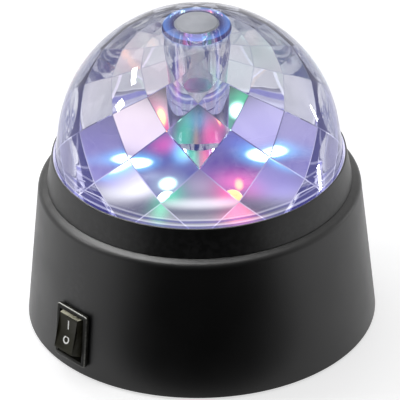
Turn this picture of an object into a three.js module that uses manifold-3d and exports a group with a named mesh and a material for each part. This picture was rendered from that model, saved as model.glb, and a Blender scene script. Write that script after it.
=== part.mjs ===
// Rotating disco ball light: a black base with a rocker switch, and a clear faceted
// dome that turns over six coloured lamps. Millimetres, +Z up. The origin is on the
// surface that the light stands on, under the dome's axis, and the front faces -Y.
import * as THREE from 'three';
import { mergeVertices } from 'three/addons/utils/BufferGeometryUtils.js';
import Module from 'manifold-3d';

const wasm = await Module();
wasm.setup();

// Fits and overruns shared by all pieces
const cutOverrun = 1; // a cutter runs this far past the face that it cuts
const seatGap = 0.3; // gap round a piece in a sloping, soldered or loose seat
const runningGap = 0.08; // radial clearance of a shaft or pin in its bearing
const pressGap = 0.03; // radial clearance of a pushed or pressed fit
const weldDistance = 0.0001; // corners closer than this are one corner

// How finely round pieces are divided
const bodySides = 40;
const innerSides = 28;
const partSides = 12;
const smallSides = 8;

// Base shell
const footProud = 1; // the feet stand this far below the shell's lower edge
const bayShellGap = 4.4; // corner of the battery bay to the shell's wall
const shellDraft = 4.9; // radius lost from the lower edge to the shoulder
const shoulderRound = 1.2;
const shellWall = 2.2;
const shellTopWidth = 11.9; // collar's foot to the round opening inside it
const motorFloorGap = 6.2; // bottom cover to the motor's tabs

// Collar round the dome
const ledgeWidth = 3.2; // shoulder to the collar's foot
const collarFootRise = 1; // the shoulder climbs this much up to the collar's foot
const collarFlare = 2; // radius lost from the collar's foot to its lip
const collarLipWidth = 0.65;
const collarHeight = 11.3; // foot to lip
const collarLipHeight = 1.2; // rounded part at the top
const collarLipDraft = 0.2; // radius lost over the rounded part
const domeSideGap = 0.35; // between the lip and the turning dome
const plateSeatHeight = 5.8; // collar foot to the ledge under the reflector
const plateSeatWidth = 2.7;

// Dome
const domeCentreRise = 15; // above the collar's foot
const skirtFlare = 1.1; // the lower edge is this much wider than the sphere
const skirtBandHeight = 3.6; // nearly upright band at the lower edge
const skirtBandTaper = 0.1; // radius that the band loses over its height
const skirtTopRise = 6.5; // from the sphere's centre to where the skirt starts
const domeHeadroom = 0.7; // lower edge to the reflector
const domeWall = 2.8; // at the corners of the inner facets
const facetsPerRow = 11;
const firstFacetLatitude = 4.5; // degrees, row with corners between the front ones
const secondFacetLatitude = 20.5; // degrees, row with a corner at the front
const facetRows = 8;
const domeArcSteps = 12;

// Centre tube of the dome, its well and its cap
const tubeTopRadius = 12.3;
const tubeFootRadius = 10;
const tubeRise = 1.8; // shaft flange under the tube's lower end
const tubeRoofDepth = 3.6; // the tube joins the dome this far below its top
const wellRadius = 5;
const wellFootRadius = 4.6;
const wellDepth = 22.8; // below the cap
const capRadius = 8.3;
const capSeatGap = 0.2;
const capSeatDepth = 2.9; // crown to the ledge under the cap

// Reflector plate
const plateSideGap = 0.25;
const plateRimThickness = 1.4;
const plateFloorThickness = 1.4;
const plateFirstStep = 0.6;
const plateSecondStep = 0.3;
const plateStepWidth = 3.4;
const plateStepSlope = 0.7;
const plateShaftGap = 1.2;

// Lamp board and its six lamps
const boardSideRoom = 14; // board's edge to the shell's opening
const boardThickness = 1.6;
const boardDrop = 3.1; // collar seat ledge down to the board's face
const boardHoleGap = 2.5; // round the turning shaft
const lampInset = 6; // board's edge to a lamp's middle
const lampCount = 6;
const lampRadius = 2.5;
const lampHeight = 7.6;
const lampFlangeRadius = 2.9;
const lampFlangeHeight = 1;
const lampHoleGap = 0.3;
const lampLegSize = 0.5;
const lampLegSpacing = 2.54;
const lampLegProud = 1;

// Screws
const screwShankRadius = 1.2;
const screwHoleGap = 0.25;
const screwThreadGap = 0.05;
const screwHeadRadius = 2.5;
const screwHeadHeight = 1.6;
const screwHeadGap = 0.4;
const screwPointGap = 0.5; // below the screw's point in a blind hole
const recessWidth = 0.7;
const recessLengthShare = 0.6; // of the head's diameter
const recessDepthShare = 0.6; // of the head's height
const chassisScrewRoof = 0.7; // collar left above the screw's hole
const gearboxScrewBite = 5.5; // into the gearbox
const boardScrewBite = 1.5; // into the reflector's bosses
const coverScrewBite = 8;
const bossRadius = 4.4;
const boardBossRadius = 2.8;
const coverBossHeight = 12;
const coverBossInset = 4.6; // boss centre to the shell's inner wall

// Chassis deck
const deckThickness = 2.2;
const deckSideGap = 1.2;
const leadHoleRadius = 2.6;

// Gears
const gearModule = 0.5;
const pressureAngle = THREE.MathUtils.degToRad(25);
const addendumShare = 0.8; // of the module
const dedendumShare = 1.1; // of the module
const toothThicknessShare = 0.92; // of half the circular pitch
const centreGap = 0.05; // added to each centre distance
const pinionTeeth = 10;
const wheelTeeth = 42;
const outputTeeth = 44;
const gearWidth = 2.8;
const gearLayerGap = 0.3;
const gearHubRadius = 1.65;
const gearPinRadius = 0.9;
const firstGearTurn = THREE.MathUtils.degToRad(-120); // direction from second gear to first
const motorTurn = THREE.MathUtils.degToRad(180); // direction from first gear to motor

// Gearbox
const gearboxFloor = 1.8;
const gearboxLidThickness = 1.6;
const gearboxWall = 1.6;
const gearboxSideGap = 0.8; // round the gears
const gearboxCorner = 3;
const postRadius = 2.6;
const postInset = 1.2; // from the inner corner
const motorCupDepth = 6;
const motorCupWall = 1.4;

// Output shaft and its bush
const shaftRadius = 3;
const shaftFlat = 0.6; // depth of the flat on the driven end
const shaftFlangeRadius = 6;
const shaftFlangeGap = 0.8; // above the reflector's rim level
const shaftSocketDepth = 9;
const shaftEndGap = 0.4;
const journalRadius = 1.5;
const journalDepth = 1.2;
const bushWall = 1.9;
const bushFlangeRadius = 6.5;
const bushFlangeHeight = 1.2;

// Motor
const motorRadius = 10;
const motorFlatWidth = 15;
const motorLength = 23.5;
const motorCanWall = 0.8;
const motorNoseRadius = 3;
const motorNoseHeight = 1.4;
const motorNoseGap = 0.2;
const motorShaftRadius = 1;
const motorCapThickness = 2;
const armatureRadius = 6;
const armatureLength = 14;
const armatureEndGap = 3;
const motorTabWidth = 1.8;
const motorTabThickness = 0.4;
const motorTabLength = 3;
const motorTabSpacing = 9;

// Bottom cover, feet and battery bay
const coverInset = 0.4; // above the shell's lower edge
const coverThickness = 2;
const coverSideGap = 0.35;
const footRadius = 5;
const footThickness = 2;
const footRound = 0.5;
const footInset = 14; // shell's lower edge to a foot's middle
const footRecessGap = 0.2;
const cellRadius = 7.25;
const cellLength = 50.5;
const cellNubRadius = 2.75;
const cellNubLength = 1;
const cellGap = 0.3;
const cellCount = 3;
const bayWall = 1.5;
const bayFrontY = 1.5; // front face of the bay's front wall
const bayHeadroom = 0.5;
const contactThickness = 0.4;
const contactWidth = 10;
const contactHeight = 9;
const contactGap = 0.1; // between a contact and its cell
const springLength = 4.6;
const springBaseRadius = 4.4;
const springTipRadius = 2.2;
const springWireRadius = 0.35;
const springTurns = 3;

// Battery door
const doorThickness = 1.8;
const doorGap = 0.3;
const doorNoseRadius = 1.2;
const doorPinRadius = 0.55;
const doorPinLength = 1.2;
const doorPinGap = 0.15;
const doorGripWidth = 14;
const doorGripDepth = 0.7;
const doorGripLength = 3;
const doorGripInset = 5; // far edge to the finger grip

// Rocker switch
const switchAzimuth = THREE.MathUtils.degToRad(-48.4);
const switchEdgeGap = 4.1; // lower edge of the shell to the flange
const switchFlangeWidth = 16.2;
const switchFlangeHeight = 21;
const switchFlangeThickness = 1.6;
const switchFlangeCorner = 1.5;
const switchFlangeStandoff = 0.1;
const switchSideLip = 1; // flange beyond the body at each side
const switchEndLip = 0.9; // flange beyond the body at each end
const switchBodyDepth = 15;
const switchBodyWall = 0.8;
const switchFloor = 1.6;
const terminalWidth = 4.8;
const terminalThickness = 0.8;
const terminalLength = 7;
const terminalSpacing = 8;

// Rocker: a shallow V face that tips about a pivot behind it
const rockerPivotDepth = 7.6; // behind the flange's face
const rockerFaceReach = 9; // pivot to the middle of the face
const rockerHalfLength = 7; // each half of the V
const rockerTilt = THREE.MathUtils.degToRad(8.5); // each way from the middle
const rockerBaseReach = 5; // pivot to the widest line of its ends
const rockerEndGap = 0.8; // that line to the housing's wall
const rockerKneeReach = 3;
const rockerKneeStep = 0.6; // half height lost from that line to the knee
const rockerTailReach = 1.6; // behind the pivot
const rockerTailHalf = 2;
const rockerSideTaper = 1.4; // each side, from the widest line to the face
const rockerSideGap = 0.2;
const rockerPinRadius = 1;
const rockerPinLength = 0.55;
const rockerPinGap = 0.1;

// Inner leads
const leadRadius = 0.7;
const leadSides = 8;
const leadStep = 4.2; // one step of the tube along the lead

// Points chosen by hand along each lead's real route
const leadRoutes = {
  lead_battery_switch: [
    [28.6, 10.55, 10.75], [32, 10.4, 10.6], [35.5, 6, 8], [35, -8, 6], [26, -28, 5.5],
    [8, -38, 5.5], [-12, -40, 6], [-26, -33, 8], [-30.2, -28.5, 9.3],
  ],
  lead_switch_board: [
    [-29.4, -25.9, 17.1], [-28, -24.8, 17.6], [-26.4, -23.8, 21], [-27, -24.2, 33],
    [-28, -25, 46], [-28, -25, 53.6], [-27.4, -19.5, 55], [-24.8, -14.4, 55.2], [-24.5, -13.5, 56.4],
  ],
  lead_battery_board: [
    [-28.6, 40.15, 10.75], [-32, 40, 11], [-37, 36, 15], [-39, 24, 28],
    [-37, 12, 44], [-36, 10, 50], [-35.6, 9.8, 53.8], [-30, 8, 55.1], [-24.4, 6.2, 55.2], [-24, 6, 56.4],
  ],
  lead_motor_plus: [
    [-10.5, -12.4, 9.8], [-11.4, -14.5, 9], [-15.5, -18.5, 9.6], [-20, -20.4, 16],
    [-21.4, -20.2, 30], [-21.4, -20.2, 47], [-21.2, -20.2, 53.6], [-17, -17.4, 55.1],
    [-13.2, -14.6, 55.2], [-12.5, -14, 56.4],
  ],
  lead_motor_minus: [
    [-1.5, -12.4, 9.8], [-1.8, -15.2, 8.2], [-8, -20.5, 6.8], [-17, -19, 8], [-19.6, -16.6, 16],
    [-20.6, -17.4, 30], [-20.6, -17.8, 47], [-20.6, -17.8, 53.6], [-20.3, -14, 55],
    [-19.7, -10.8, 55.2], [-19.5, -10, 56.4],
  ],
};

// Heights worked out from the sizes above
const shellBottom = footProud;
const coverUnder = shellBottom + coverInset;
const coverTop = coverUnder + coverThickness;
const motorBottom = coverTop + motorFloorGap + motorTabLength + motorCapThickness;
const gearboxUnder = motorBottom + motorLength;
const gearboxFloorTop = gearboxUnder + gearboxFloor;
const firstLayer = gearboxFloorTop + gearLayerGap;
const secondLayer = firstLayer + gearWidth + gearLayerGap;
const thirdLayer = secondLayer + gearWidth + gearLayerGap;
const lidUnder = thirdLayer + gearWidth + gearLayerGap;
const deckUnder = lidUnder + gearboxLidThickness;
const shellDeckUnder = deckUnder + deckThickness;
const shellTop = shellDeckUnder + shellWall;
const shoulderZ = shellTop - collarFootRise;
const shoulderHeight = shoulderZ - shellBottom;
const plateSeatZ = shellTop + plateSeatHeight;
const plateTop = plateSeatZ + plateRimThickness;
const plateStepZ = plateTop - plateFirstStep;
const plateFloorZ = plateStepZ - plateSecondStep;
const plateUnder = plateFloorZ - plateFloorThickness;
const collarLip = shellTop + collarHeight;
const domeCentre = shellTop + domeCentreRise;
const domeBottom = plateTop + domeHeadroom;
const shaftFlangeZ = plateTop + shaftFlangeGap;
const tubeFoot = shaftFlangeZ + tubeRise;
const boardTop = plateSeatZ - boardDrop + seatGap;
const boardUnder = boardTop - boardThickness;
const doorTop = coverUnder + doorThickness;
const cellZ = doorTop + cellGap + cellRadius;
const bayRoofUnder = cellZ + cellRadius + bayHeadroom;
const bayTop = bayRoofUnder + bayWall;

// The battery bay, and the radii that follow from it: the shell is as wide as the bay
// needs, and the collar and the dome stand on the shell
const bayHalfLength = (cellLength + springLength + contactGap) / 2 + contactThickness + contactGap;
const bayInnerWidth = cellCount * 2 * cellRadius + (cellCount + 1) * cellGap;
const bayInnerFront = bayFrontY + bayWall;
const bayInnerBack = bayInnerFront + bayInnerWidth;
const bayCorner = Math.hypot(bayHalfLength + bayWall, bayInnerBack + bayWall);
const baseRadius = bayCorner + bayShellGap + shellWall;
const shoulderRadius = baseRadius - shellDraft;
const collarFootRadius = shoulderRadius - ledgeWidth;
const collarTopRadius = collarFootRadius - collarFlare;
const collarInner = collarTopRadius - collarLipWidth;
const skirtRadius = collarInner - domeSideGap;
const domeRadius = skirtRadius - skirtFlare;
const facetRadius = domeRadius - domeWall;
const shellOpeningRadius = collarFootRadius - shellTopWidth;
const boardRadius = shellOpeningRadius - boardSideRoom;
const lampCircleRadius = boardRadius - lampInset;
const footCircleRadius = baseRadius - footInset;

// Other radii and places worked out from the sizes above
const domeTop = domeCentre + domeRadius;
const capSeatZ = domeTop - capSeatDepth;
const wellFloor = capSeatZ - wellDepth;
const chassisScrewBite = plateSeatHeight - chassisScrewRoof - screwPointGap;
const switchRise = switchEdgeGap + switchFlangeHeight / 2;
const switchBodyWidth = switchFlangeWidth - 2 * switchSideLip;
const switchBodyHeight = switchFlangeHeight - 2 * switchEndLip;
const rockerBaseWidth = switchBodyWidth - 2 * (switchBodyWall + rockerSideGap);
const rockerFaceWidth = rockerBaseWidth - 2 * rockerSideTaper;
const rockerBaseHalf = switchBodyHeight / 2 - switchBodyWall - rockerEndGap;
const rockerKneeHalf = rockerBaseHalf - rockerKneeStep;
const plateRadius = collarInner - plateSideGap;
const plateSeatInner = collarInner - plateSeatWidth;
const chassisScrewCircle = (plateSeatInner + collarFootRadius) / 2;
const wheelRadius = gearModule * wheelTeeth / 2;
const pinionRadius = gearModule * pinionTeeth / 2;
const outputRadius = gearModule * outputTeeth / 2;
const gearAddendum = gearModule * addendumShare;
const secondGearX = pinionRadius + outputRadius + centreGap;
const stageDistance = pinionRadius + wheelRadius + centreGap;
const secondGearAt = new THREE.Vector2(secondGearX, 0);
const firstGearAt = stepFrom(secondGearAt, firstGearTurn, stageDistance);
const motorAt = stepFrom(firstGearAt, motorTurn, stageDistance);
const cellPitch = 2 * cellRadius + cellGap;
const doorHingeY = bayInnerFront + doorGap + doorNoseRadius;
const doorHingeZ = coverUnder + doorNoseRadius;
const coverBossCircle = shellRadiusAt(coverTop) - shellWall - coverBossInset;
const screwHoleRadius = screwShankRadius + screwHoleGap;

// The angles of the screws, feet and lamps, counted from +X
const thirdTurns = [Math.PI / 6, Math.PI * 5 / 6, Math.PI * 3 / 2];
const coverTurns = [Math.PI / 2, Math.PI * 10 / 9, Math.PI * 17 / 9];
const lampTurns = Array.from({ length: lampCount }, (_, index) => index * 2 * Math.PI / lampCount);

// Finishes
const finishes = {
  blackPlastic: { color: 0x17181a, roughness: 0.5, metalness: 0 },
  clearPlastic: { color: 0xdfe2f2, roughness: 0.06, metalness: 0 },
  silverPlastic: { color: 0xc9cad6, roughness: 0.25, metalness: 0.4 },
  glossBlack: { color: 0x101114, roughness: 0.3, metalness: 0 },
  greyPlastic: { color: 0xb9bcc2, roughness: 0.4, metalness: 0 },
  whiteNylon: { color: 0xe8e4d8, roughness: 0.45, metalness: 0 },
  steel: { color: 0xb8babd, roughness: 0.35, metalness: 1 },
  bronze: { color: 0xa9804a, roughness: 0.4, metalness: 1 },
  brass: { color: 0xc8a862, roughness: 0.35, metalness: 1 },
  boardGreen: { color: 0x1d5a36, roughness: 0.5, metalness: 0 },
  rubber: { color: 0x202022, roughness: 0.9, metalness: 0 },
  cellJacket: { color: 0x3a4a66, roughness: 0.35, metalness: 0.2 },
  redLead: { color: 0xa81c1c, roughness: 0.5, metalness: 0 },
  blackLead: { color: 0x1a1a1a, roughness: 0.5, metalness: 0 },
  blueLamp: { color: 0x3a6cff, roughness: 0.15, metalness: 0 },
  greenLamp: { color: 0x18c070, roughness: 0.15, metalness: 0 },
  redLamp: { color: 0xff3a4a, roughness: 0.15, metalness: 0 },
};

// Helpers: points, curves and plain solids

function stepFrom(from, turn, distance) {
  return new THREE.Vector2(from.x + distance * Math.cos(turn), from.y + distance * Math.sin(turn));
}

function shellRadiusAt(z) {
  return baseRadius - (z - shellBottom) * (baseRadius - shoulderRadius) / shoulderHeight;
}

function asSolid(geometry) {
  const bare = geometry.clone();
  bare.deleteAttribute('normal');
  bare.deleteAttribute('uv');
  const welded = mergeVertices(bare, weldDistance);
  const corners = welded.index.array;
  const kept = [];
  for (let i = 0; i < corners.length; i += 3) {
    const [a, b, c] = [corners[i], corners[i + 1], corners[i + 2]];
    if (a !== b && b !== c && c !== a) kept.push(a, b, c);
  }
  return new wasm.Manifold(new wasm.Mesh({
    numProp: 3,
    vertProperties: new Float32Array(welded.attributes.position.array),
    triVerts: new Uint32Array(kept),
  }));
}

function asGeometry(solid) {
  const mesh = solid.getMesh();
  const geometry = new THREE.BufferGeometry();
  geometry.setAttribute('position', new THREE.BufferAttribute(mesh.vertProperties, mesh.numProp));
  geometry.setIndex(new THREE.BufferAttribute(mesh.triVerts, 1));
  geometry.computeVertexNormals();
  return geometry;
}

function joined(...solids) {
  return solids.reduce((whole, next) => whole.add(next));
}

function cut(solid, ...cutters) {
  return cutters.reduce((rest, cutter) => rest.subtract(cutter), solid);
}

// A solid of revolution about Z from [radius, z] points, which close on themselves
function turned(points, sides = bodySides) {
  let doubleArea = 0;
  points.forEach(([r, z], index) => {
    const [nextR, nextZ] = points[(index + 1) % points.length];
    doubleArea += r * nextZ - nextR * z;
  });
  const ordered = doubleArea > 0 ? points : [...points].reverse();
  const outline = [...ordered, ordered[0]].map(([r, z]) => new THREE.Vector2(r, z));
  const geometry = new THREE.LatheGeometry(outline, sides);
  return asSolid(geometry.rotateX(Math.PI / 2));
}

// A round bar along Z, from one height to another
function bar(radius, bottom, top, sides = partSides, x = 0, y = 0) {
  const geometry = new THREE.CylinderGeometry(radius, radius, top - bottom, sides);
  geometry.rotateX(Math.PI / 2);
  return asSolid(geometry.translate(x, y, (bottom + top) / 2));
}

// A round hole: its flats, not its corners, lie at the radius
function hole(radius, bottom, top, sides = partSides, x = 0, y = 0) {
  return bar(radius / Math.cos(Math.PI / sides), bottom, top, sides, x, y);
}

// A block given by its lowest and highest corners
function block([x0, y0, z0], [x1, y1, z1]) {
  const geometry = new THREE.BoxGeometry(x1 - x0, y1 - y0, z1 - z0);
  return asSolid(geometry.translate((x0 + x1) / 2, (y0 + y1) / 2, (z0 + z1) / 2));
}

// An outline in X and Y raised from one height to another
function raised(points, bottom, top) {
  const shape = new THREE.Shape(points.map((point) => new THREE.Vector2(point.x, point.y)));
  const geometry = new THREE.ExtrudeGeometry(shape, { depth: top - bottom, bevelEnabled: false });
  return asSolid(geometry.translate(0, 0, bottom));
}

function roundedRectangle(x0, y0, x1, y1, corner) {
  const shape = new THREE.Shape();
  shape.moveTo(x0 + corner, y0);
  shape.lineTo(x1 - corner, y0);
  shape.absarc(x1 - corner, y0 + corner, corner, -Math.PI / 2, 0, false);
  shape.absarc(x1 - corner, y1 - corner, corner, 0, Math.PI / 2, false);
  shape.absarc(x0 + corner, y1 - corner, corner, Math.PI / 2, Math.PI, false);
  shape.absarc(x0 + corner, y0 + corner, corner, Math.PI, Math.PI * 3 / 2, false);
  const cornerSteps = 4;
  return shape.getPoints(cornerSteps);
}

function onCircle(radius, turn) {
  return [radius * Math.cos(turn), radius * Math.sin(turn)];
}

// A round-section tube along a curve, with flat ends
function tube(path, radius, steps, sides) {
  const section = new THREE.Shape();
  for (let i = 0; i < sides; i += 1) {
    const [x, y] = onCircle(radius, i * 2 * Math.PI / sides);
    if (i === 0) section.moveTo(x, y);
    else section.lineTo(x, y);
  }
  section.closePath();
  const geometry = new THREE.ExtrudeGeometry(section, { steps, extrudePath: path, bevelEnabled: false });
  const solid = asSolid(geometry);
  return solid.volume() > 0 ? solid : asSolid(flipped(geometry));
}

function flipped(geometry) {
  const turnedOver = mergeVertices(geometry.clone());
  const corners = turnedOver.index.array;
  for (let i = 0; i < corners.length; i += 3) {
    [corners[i], corners[i + 1]] = [corners[i + 1], corners[i]];
  }
  return turnedOver;
}

function piece(name, solid, finish) {
  const mesh = new THREE.Mesh(asGeometry(solid), new THREE.MeshStandardMaterial(finish));
  mesh.name = name;
  return mesh;
}

// A screw with its head's seat at z = 0 and its shank towards +Z
function screw(shankLength, hasRecess = false) {
  const solid = joined(
    bar(screwHeadRadius, -screwHeadHeight, 0, smallSides),
    bar(screwShankRadius, -screwHeadHeight / 2, shankLength, smallSides),
  );
  if (!hasRecess) return solid;
  const half = screwHeadRadius * recessLengthShare;
  const deep = screwHeadHeight * recessDepthShare - screwHeadHeight;
  const slotLow = -screwHeadHeight - cutOverrun;
  const slot = block([-half, -recessWidth / 2, slotLow], [half, recessWidth / 2, deep]);
  const crossSlot = block([-recessWidth / 2, -half, slotLow], [recessWidth / 2, half, deep]);
  return cut(solid, joined(slot, crossSlot));
}

// Base shell

function shoulderPoints() {
  const wallSlope = Math.atan2(baseRadius - shoulderRadius, shoulderHeight);
  const start = new THREE.Vector2(
    shoulderRadius + shoulderRound * Math.sin(wallSlope), shoulderZ - shoulderRound,
  );
  const corner = new THREE.Vector2(shoulderRadius, shoulderZ);
  const ledge = new THREE.Vector2(collarFootRadius - shoulderRadius, collarFootRise).normalize();
  const end = corner.clone().addScaledVector(ledge, shoulderRound);
  const roundSteps = 4;
  const curve = new THREE.QuadraticBezierCurve(start, corner, end);
  return curve.getPoints(roundSteps).map((point) => [point.x, point.y]);
}

function shellProfile() {
  return [
    [baseRadius, shellBottom],
    ...shoulderPoints(),
    [collarFootRadius, shellTop],
    [shellOpeningRadius, shellTop],
    [shellOpeningRadius, shellDeckUnder],
    [shellRadiusAt(shellDeckUnder) - shellWall, shellDeckUnder],
    [baseRadius - shellWall, shellBottom],
  ];
}

function coverBoss(turn) {
  const [x, y] = onCircle(coverBossCircle, turn);
  return bar(bossRadius, coverTop, coverTop + coverBossHeight, smallSides, x, y);
}

function coverBossHole(turn) {
  const [x, y] = onCircle(coverBossCircle, turn);
  const top = coverTop + coverScrewBite + screwPointGap;
  return bar(screwShankRadius + screwThreadGap, coverTop - cutOverrun, top, smallSides, x, y);
}

function chassisHole(turn, bottom, top) {
  const [x, y] = onCircle(chassisScrewCircle, turn);
  return bar(screwHoleRadius, bottom - cutOverrun, top + cutOverrun, smallSides, x, y);
}

function switchPlace() {
  const taper = Math.atan2(baseRadius - shoulderRadius, shoulderHeight);
  const centreZ = shellBottom + switchRise;
  return new THREE.Matrix4().makeRotationZ(switchAzimuth)
    .multiply(new THREE.Matrix4().makeTranslation(0, -shellRadiusAt(centreZ), centreZ))
    .multiply(new THREE.Matrix4().makeRotationX(-taper));
}

function switchCutter() {
  const halfWidth = switchBodyWidth / 2 + seatGap;
  const halfHeight = switchBodyHeight / 2 + seatGap;
  const reach = switchFlangeThickness + 2 * shellWall;
  const geometry = new THREE.BoxGeometry(2 * halfWidth, 2 * reach, 2 * halfHeight);
  return asSolid(geometry.applyMatrix4(switchPlace()));
}

function baseShell() {
  const inside = turned([
    [0, shellBottom], [baseRadius - shellWall / 2, shellBottom],
    [shellRadiusAt(shellDeckUnder) - shellWall / 2, shellDeckUnder], [0, shellDeckUnder],
  ]);
  const bosses = coverTurns.map((turn) => coverBoss(turn).intersect(inside));
  const solid = joined(turned(shellProfile()), ...bosses);
  return cut(
    solid,
    ...coverTurns.map(coverBossHole),
    ...thirdTurns.map((turn) => chassisHole(turn, shellDeckUnder, shellTop)),
    switchCutter(),
  );
}

// Collar

function lipPoints() {
  const start = new THREE.Vector2(collarTopRadius, collarLip - collarLipHeight);
  const control = new THREE.Vector2(collarTopRadius - collarLipDraft, collarLip);
  const end = new THREE.Vector2(collarInner, collarLip);
  const lipSteps = 4;
  const curve = new THREE.QuadraticBezierCurve(start, control, end);
  return curve.getPoints(lipSteps).map((point) => [point.x, point.y]);
}

function topCollar() {
  const ring = turned([
    [plateSeatInner, shellTop],
    [collarFootRadius, shellTop],
    ...lipPoints(),
    [collarInner, plateSeatZ],
    [plateSeatInner, plateSeatZ],
  ]);
  const holes = thirdTurns.map((turn) => {
    const [x, y] = onCircle(chassisScrewCircle, turn);
    const top = shellTop + chassisScrewBite + screwPointGap;
    return bar(screwShankRadius + screwThreadGap, shellTop - cutOverrun, top, smallSides, x, y);
  });
  return cut(ring, ...holes);
}

// Dome with its inner facets and centre tube

// The latitude of each row follows from the last two: a facet is flat, so its lower
// corner, the middle of its two side corners and its upper corner lie on one line.
function facetLatitudes() {
  const halfPitch = Math.PI / facetsPerRow;
  const rows = [firstFacetLatitude, secondFacetLatitude].map(THREE.MathUtils.degToRad);
  const upper = (low, side) => {
    const from = new THREE.Vector2(Math.cos(low), Math.sin(low));
    const middle = new THREE.Vector2(Math.cos(side) * Math.cos(halfPitch), Math.sin(side));
    const along = middle.sub(from).normalize();
    const reach = -2 * from.dot(along);
    const corner = from.addScaledVector(along, reach);
    return Math.atan2(corner.y, corner.x);
  };
  while (rows.length < facetRows) rows.push(upper(rows.at(-2), rows.at(-1)));
  return [upper(rows[1], rows[0]), ...rows];
}

function facetPoint(latitude, turn) {
  const [x, y] = onCircle(facetRadius * Math.cos(latitude), turn);
  return new THREE.Vector3(x, y, domeCentre + facetRadius * Math.sin(latitude));
}

// The hollow of the dome: rows of corners, each row turned by half a pitch
function facetedHollow() {
  const latitudes = facetLatitudes();
  const pitch = 2 * Math.PI / facetsPerRow;
  const corner = (row, index) => {
    const oddRow = row % 2 === 1;
    const turn = -Math.PI / 2 + index * pitch + (oddRow ? pitch / 2 : 0);
    return facetPoint(latitudes[row], turn);
  };
  const points = [];
  const addTriangle = (...corners) => corners.forEach((p) => points.push(p.x, p.y, p.z));
  const top = latitudes.length - 1;
  const lowPole = new THREE.Vector3(0, 0, corner(0, 0).z);
  const highPole = new THREE.Vector3(0, 0, corner(top, 0).z);
  for (let index = 0; index < facetsPerRow; index += 1) {
    addTriangle(corner(0, index), lowPole, corner(0, index + 1));
    addTriangle(corner(top, index), corner(top, index + 1), highPole);
    for (let row = 0; row < top; row += 1) {
      const shift = row % 2;
      const above = corner(row + 1, index + shift);
      addTriangle(corner(row, index), corner(row, index + 1), above);
      addTriangle(corner(row + 1, index + shift), corner(row + 1, index + shift - 1), corner(row, index));
    }
  }
  const geometry = new THREE.BufferGeometry();
  geometry.setAttribute('position', new THREE.Float32BufferAttribute(points, 3));
  return asSolid(geometry);
}

function domeOutline() {
  const bandTop = domeBottom + skirtBandHeight;
  const startAngle = Math.asin(skirtTopRise / domeRadius);
  const points = [[0, domeBottom], [skirtRadius, domeBottom], [skirtRadius - skirtBandTaper, bandTop]];
  for (let i = 0; i <= domeArcSteps; i += 1) {
    const angle = startAngle + (Math.PI / 2 - startAngle) * i / domeArcSteps;
    const [r, rise] = onCircle(domeRadius, angle);
    points.push([i === domeArcSteps ? 0 : r, domeCentre + rise]);
  }
  return points;
}

function centreTube() {
  return turned([
    [0, tubeFoot], [tubeFootRadius, tubeFoot],
    [tubeTopRadius, domeTop - tubeRoofDepth], [0, domeTop - tubeRoofDepth],
  ], innerSides);
}

function crystalDome() {
  const capSeat = bar(capRadius + capSeatGap, capSeatZ, domeTop + cutOverrun, innerSides);
  const well = turned([
    [0, wellFloor], [wellFootRadius, wellFloor],
    [wellRadius, capSeatZ + cutOverrun], [0, capSeatZ + cutOverrun],
  ], innerSides);
  const shell = cut(turned(domeOutline()), facetedHollow());
  return cut(joined(shell, centreTube()), capSeat, well, driveSocket());
}

function driveSocket() {
  const top = tubeFoot + shaftSocketDepth;
  return drivenEnd(shaftRadius + pressGap, tubeFoot - cutOverrun, top, pressGap);
}

// A bar with one flat, for the shaft's end and the socket that it drives
function drivenEnd(radius, bottom, top, gap) {
  const flatX = shaftRadius - shaftFlat + gap;
  const cutter = block(
    [flatX, -2 * radius, bottom - cutOverrun], [2 * radius, 2 * radius, top + cutOverrun],
  );
  return cut(bar(radius, bottom, top), cutter);
}

function domeCap() {
  const points = [[0, capSeatZ], [capRadius, capSeatZ]];
  const rimAngle = Math.acos(capRadius / domeRadius);
  const capSteps = 4;
  for (let i = 0; i <= capSteps; i += 1) {
    const [r, rise] = onCircle(domeRadius, rimAngle + (Math.PI / 2 - rimAngle) * i / capSteps);
    points.push([i === capSteps ? 0 : r, domeCentre + rise]);
  }
  return turned(points, innerSides);
}

// Reflector, board and lamps

function reflectorPlate() {
  const seatEdge = plateSeatInner - plateSideGap;
  const stepOuter = plateRadius - plateStepWidth;
  const stepInner = stepOuter - plateStepSlope - plateStepWidth;
  const hole = shaftRadius + plateShaftGap;
  const dish = turned([
    [hole, plateUnder], [seatEdge, plateUnder], [seatEdge, plateSeatZ],
    [plateRadius, plateSeatZ], [plateRadius, plateTop],
    [stepOuter, plateTop], [stepOuter - plateStepSlope, plateStepZ],
    [stepInner, plateStepZ], [stepInner - plateStepSlope, plateFloorZ], [hole, plateFloorZ],
  ], innerSides);
  const bosses = thirdTurns.map((turn) => {
    const [x, y] = onCircle(lampCircleRadius, turn);
    return bar(boardBossRadius, boardTop, plateFloorZ, smallSides, x, y);
  });
  const bossHoles = thirdTurns.map((turn) => {
    const [x, y] = onCircle(lampCircleRadius, turn);
    const top = boardTop + boardScrewBite + screwPointGap;
    return bar(screwShankRadius + screwThreadGap, boardTop - cutOverrun, top, smallSides, x, y);
  });
  const lampHoles = lampTurns.map((turn) => {
    const [x, y] = onCircle(lampCircleRadius, turn);
    return bar(lampRadius + lampHoleGap, plateUnder - cutOverrun, plateTop, smallSides, x, y);
  });
  return cut(joined(dish, ...bosses), ...bossHoles, ...lampHoles);
}

function legBlock(side, size, bottom, top) {
  const x = side * lampLegSpacing / 2;
  return block([x - size / 2, -size / 2, bottom], [x + size / 2, size / 2, top]);
}

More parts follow.
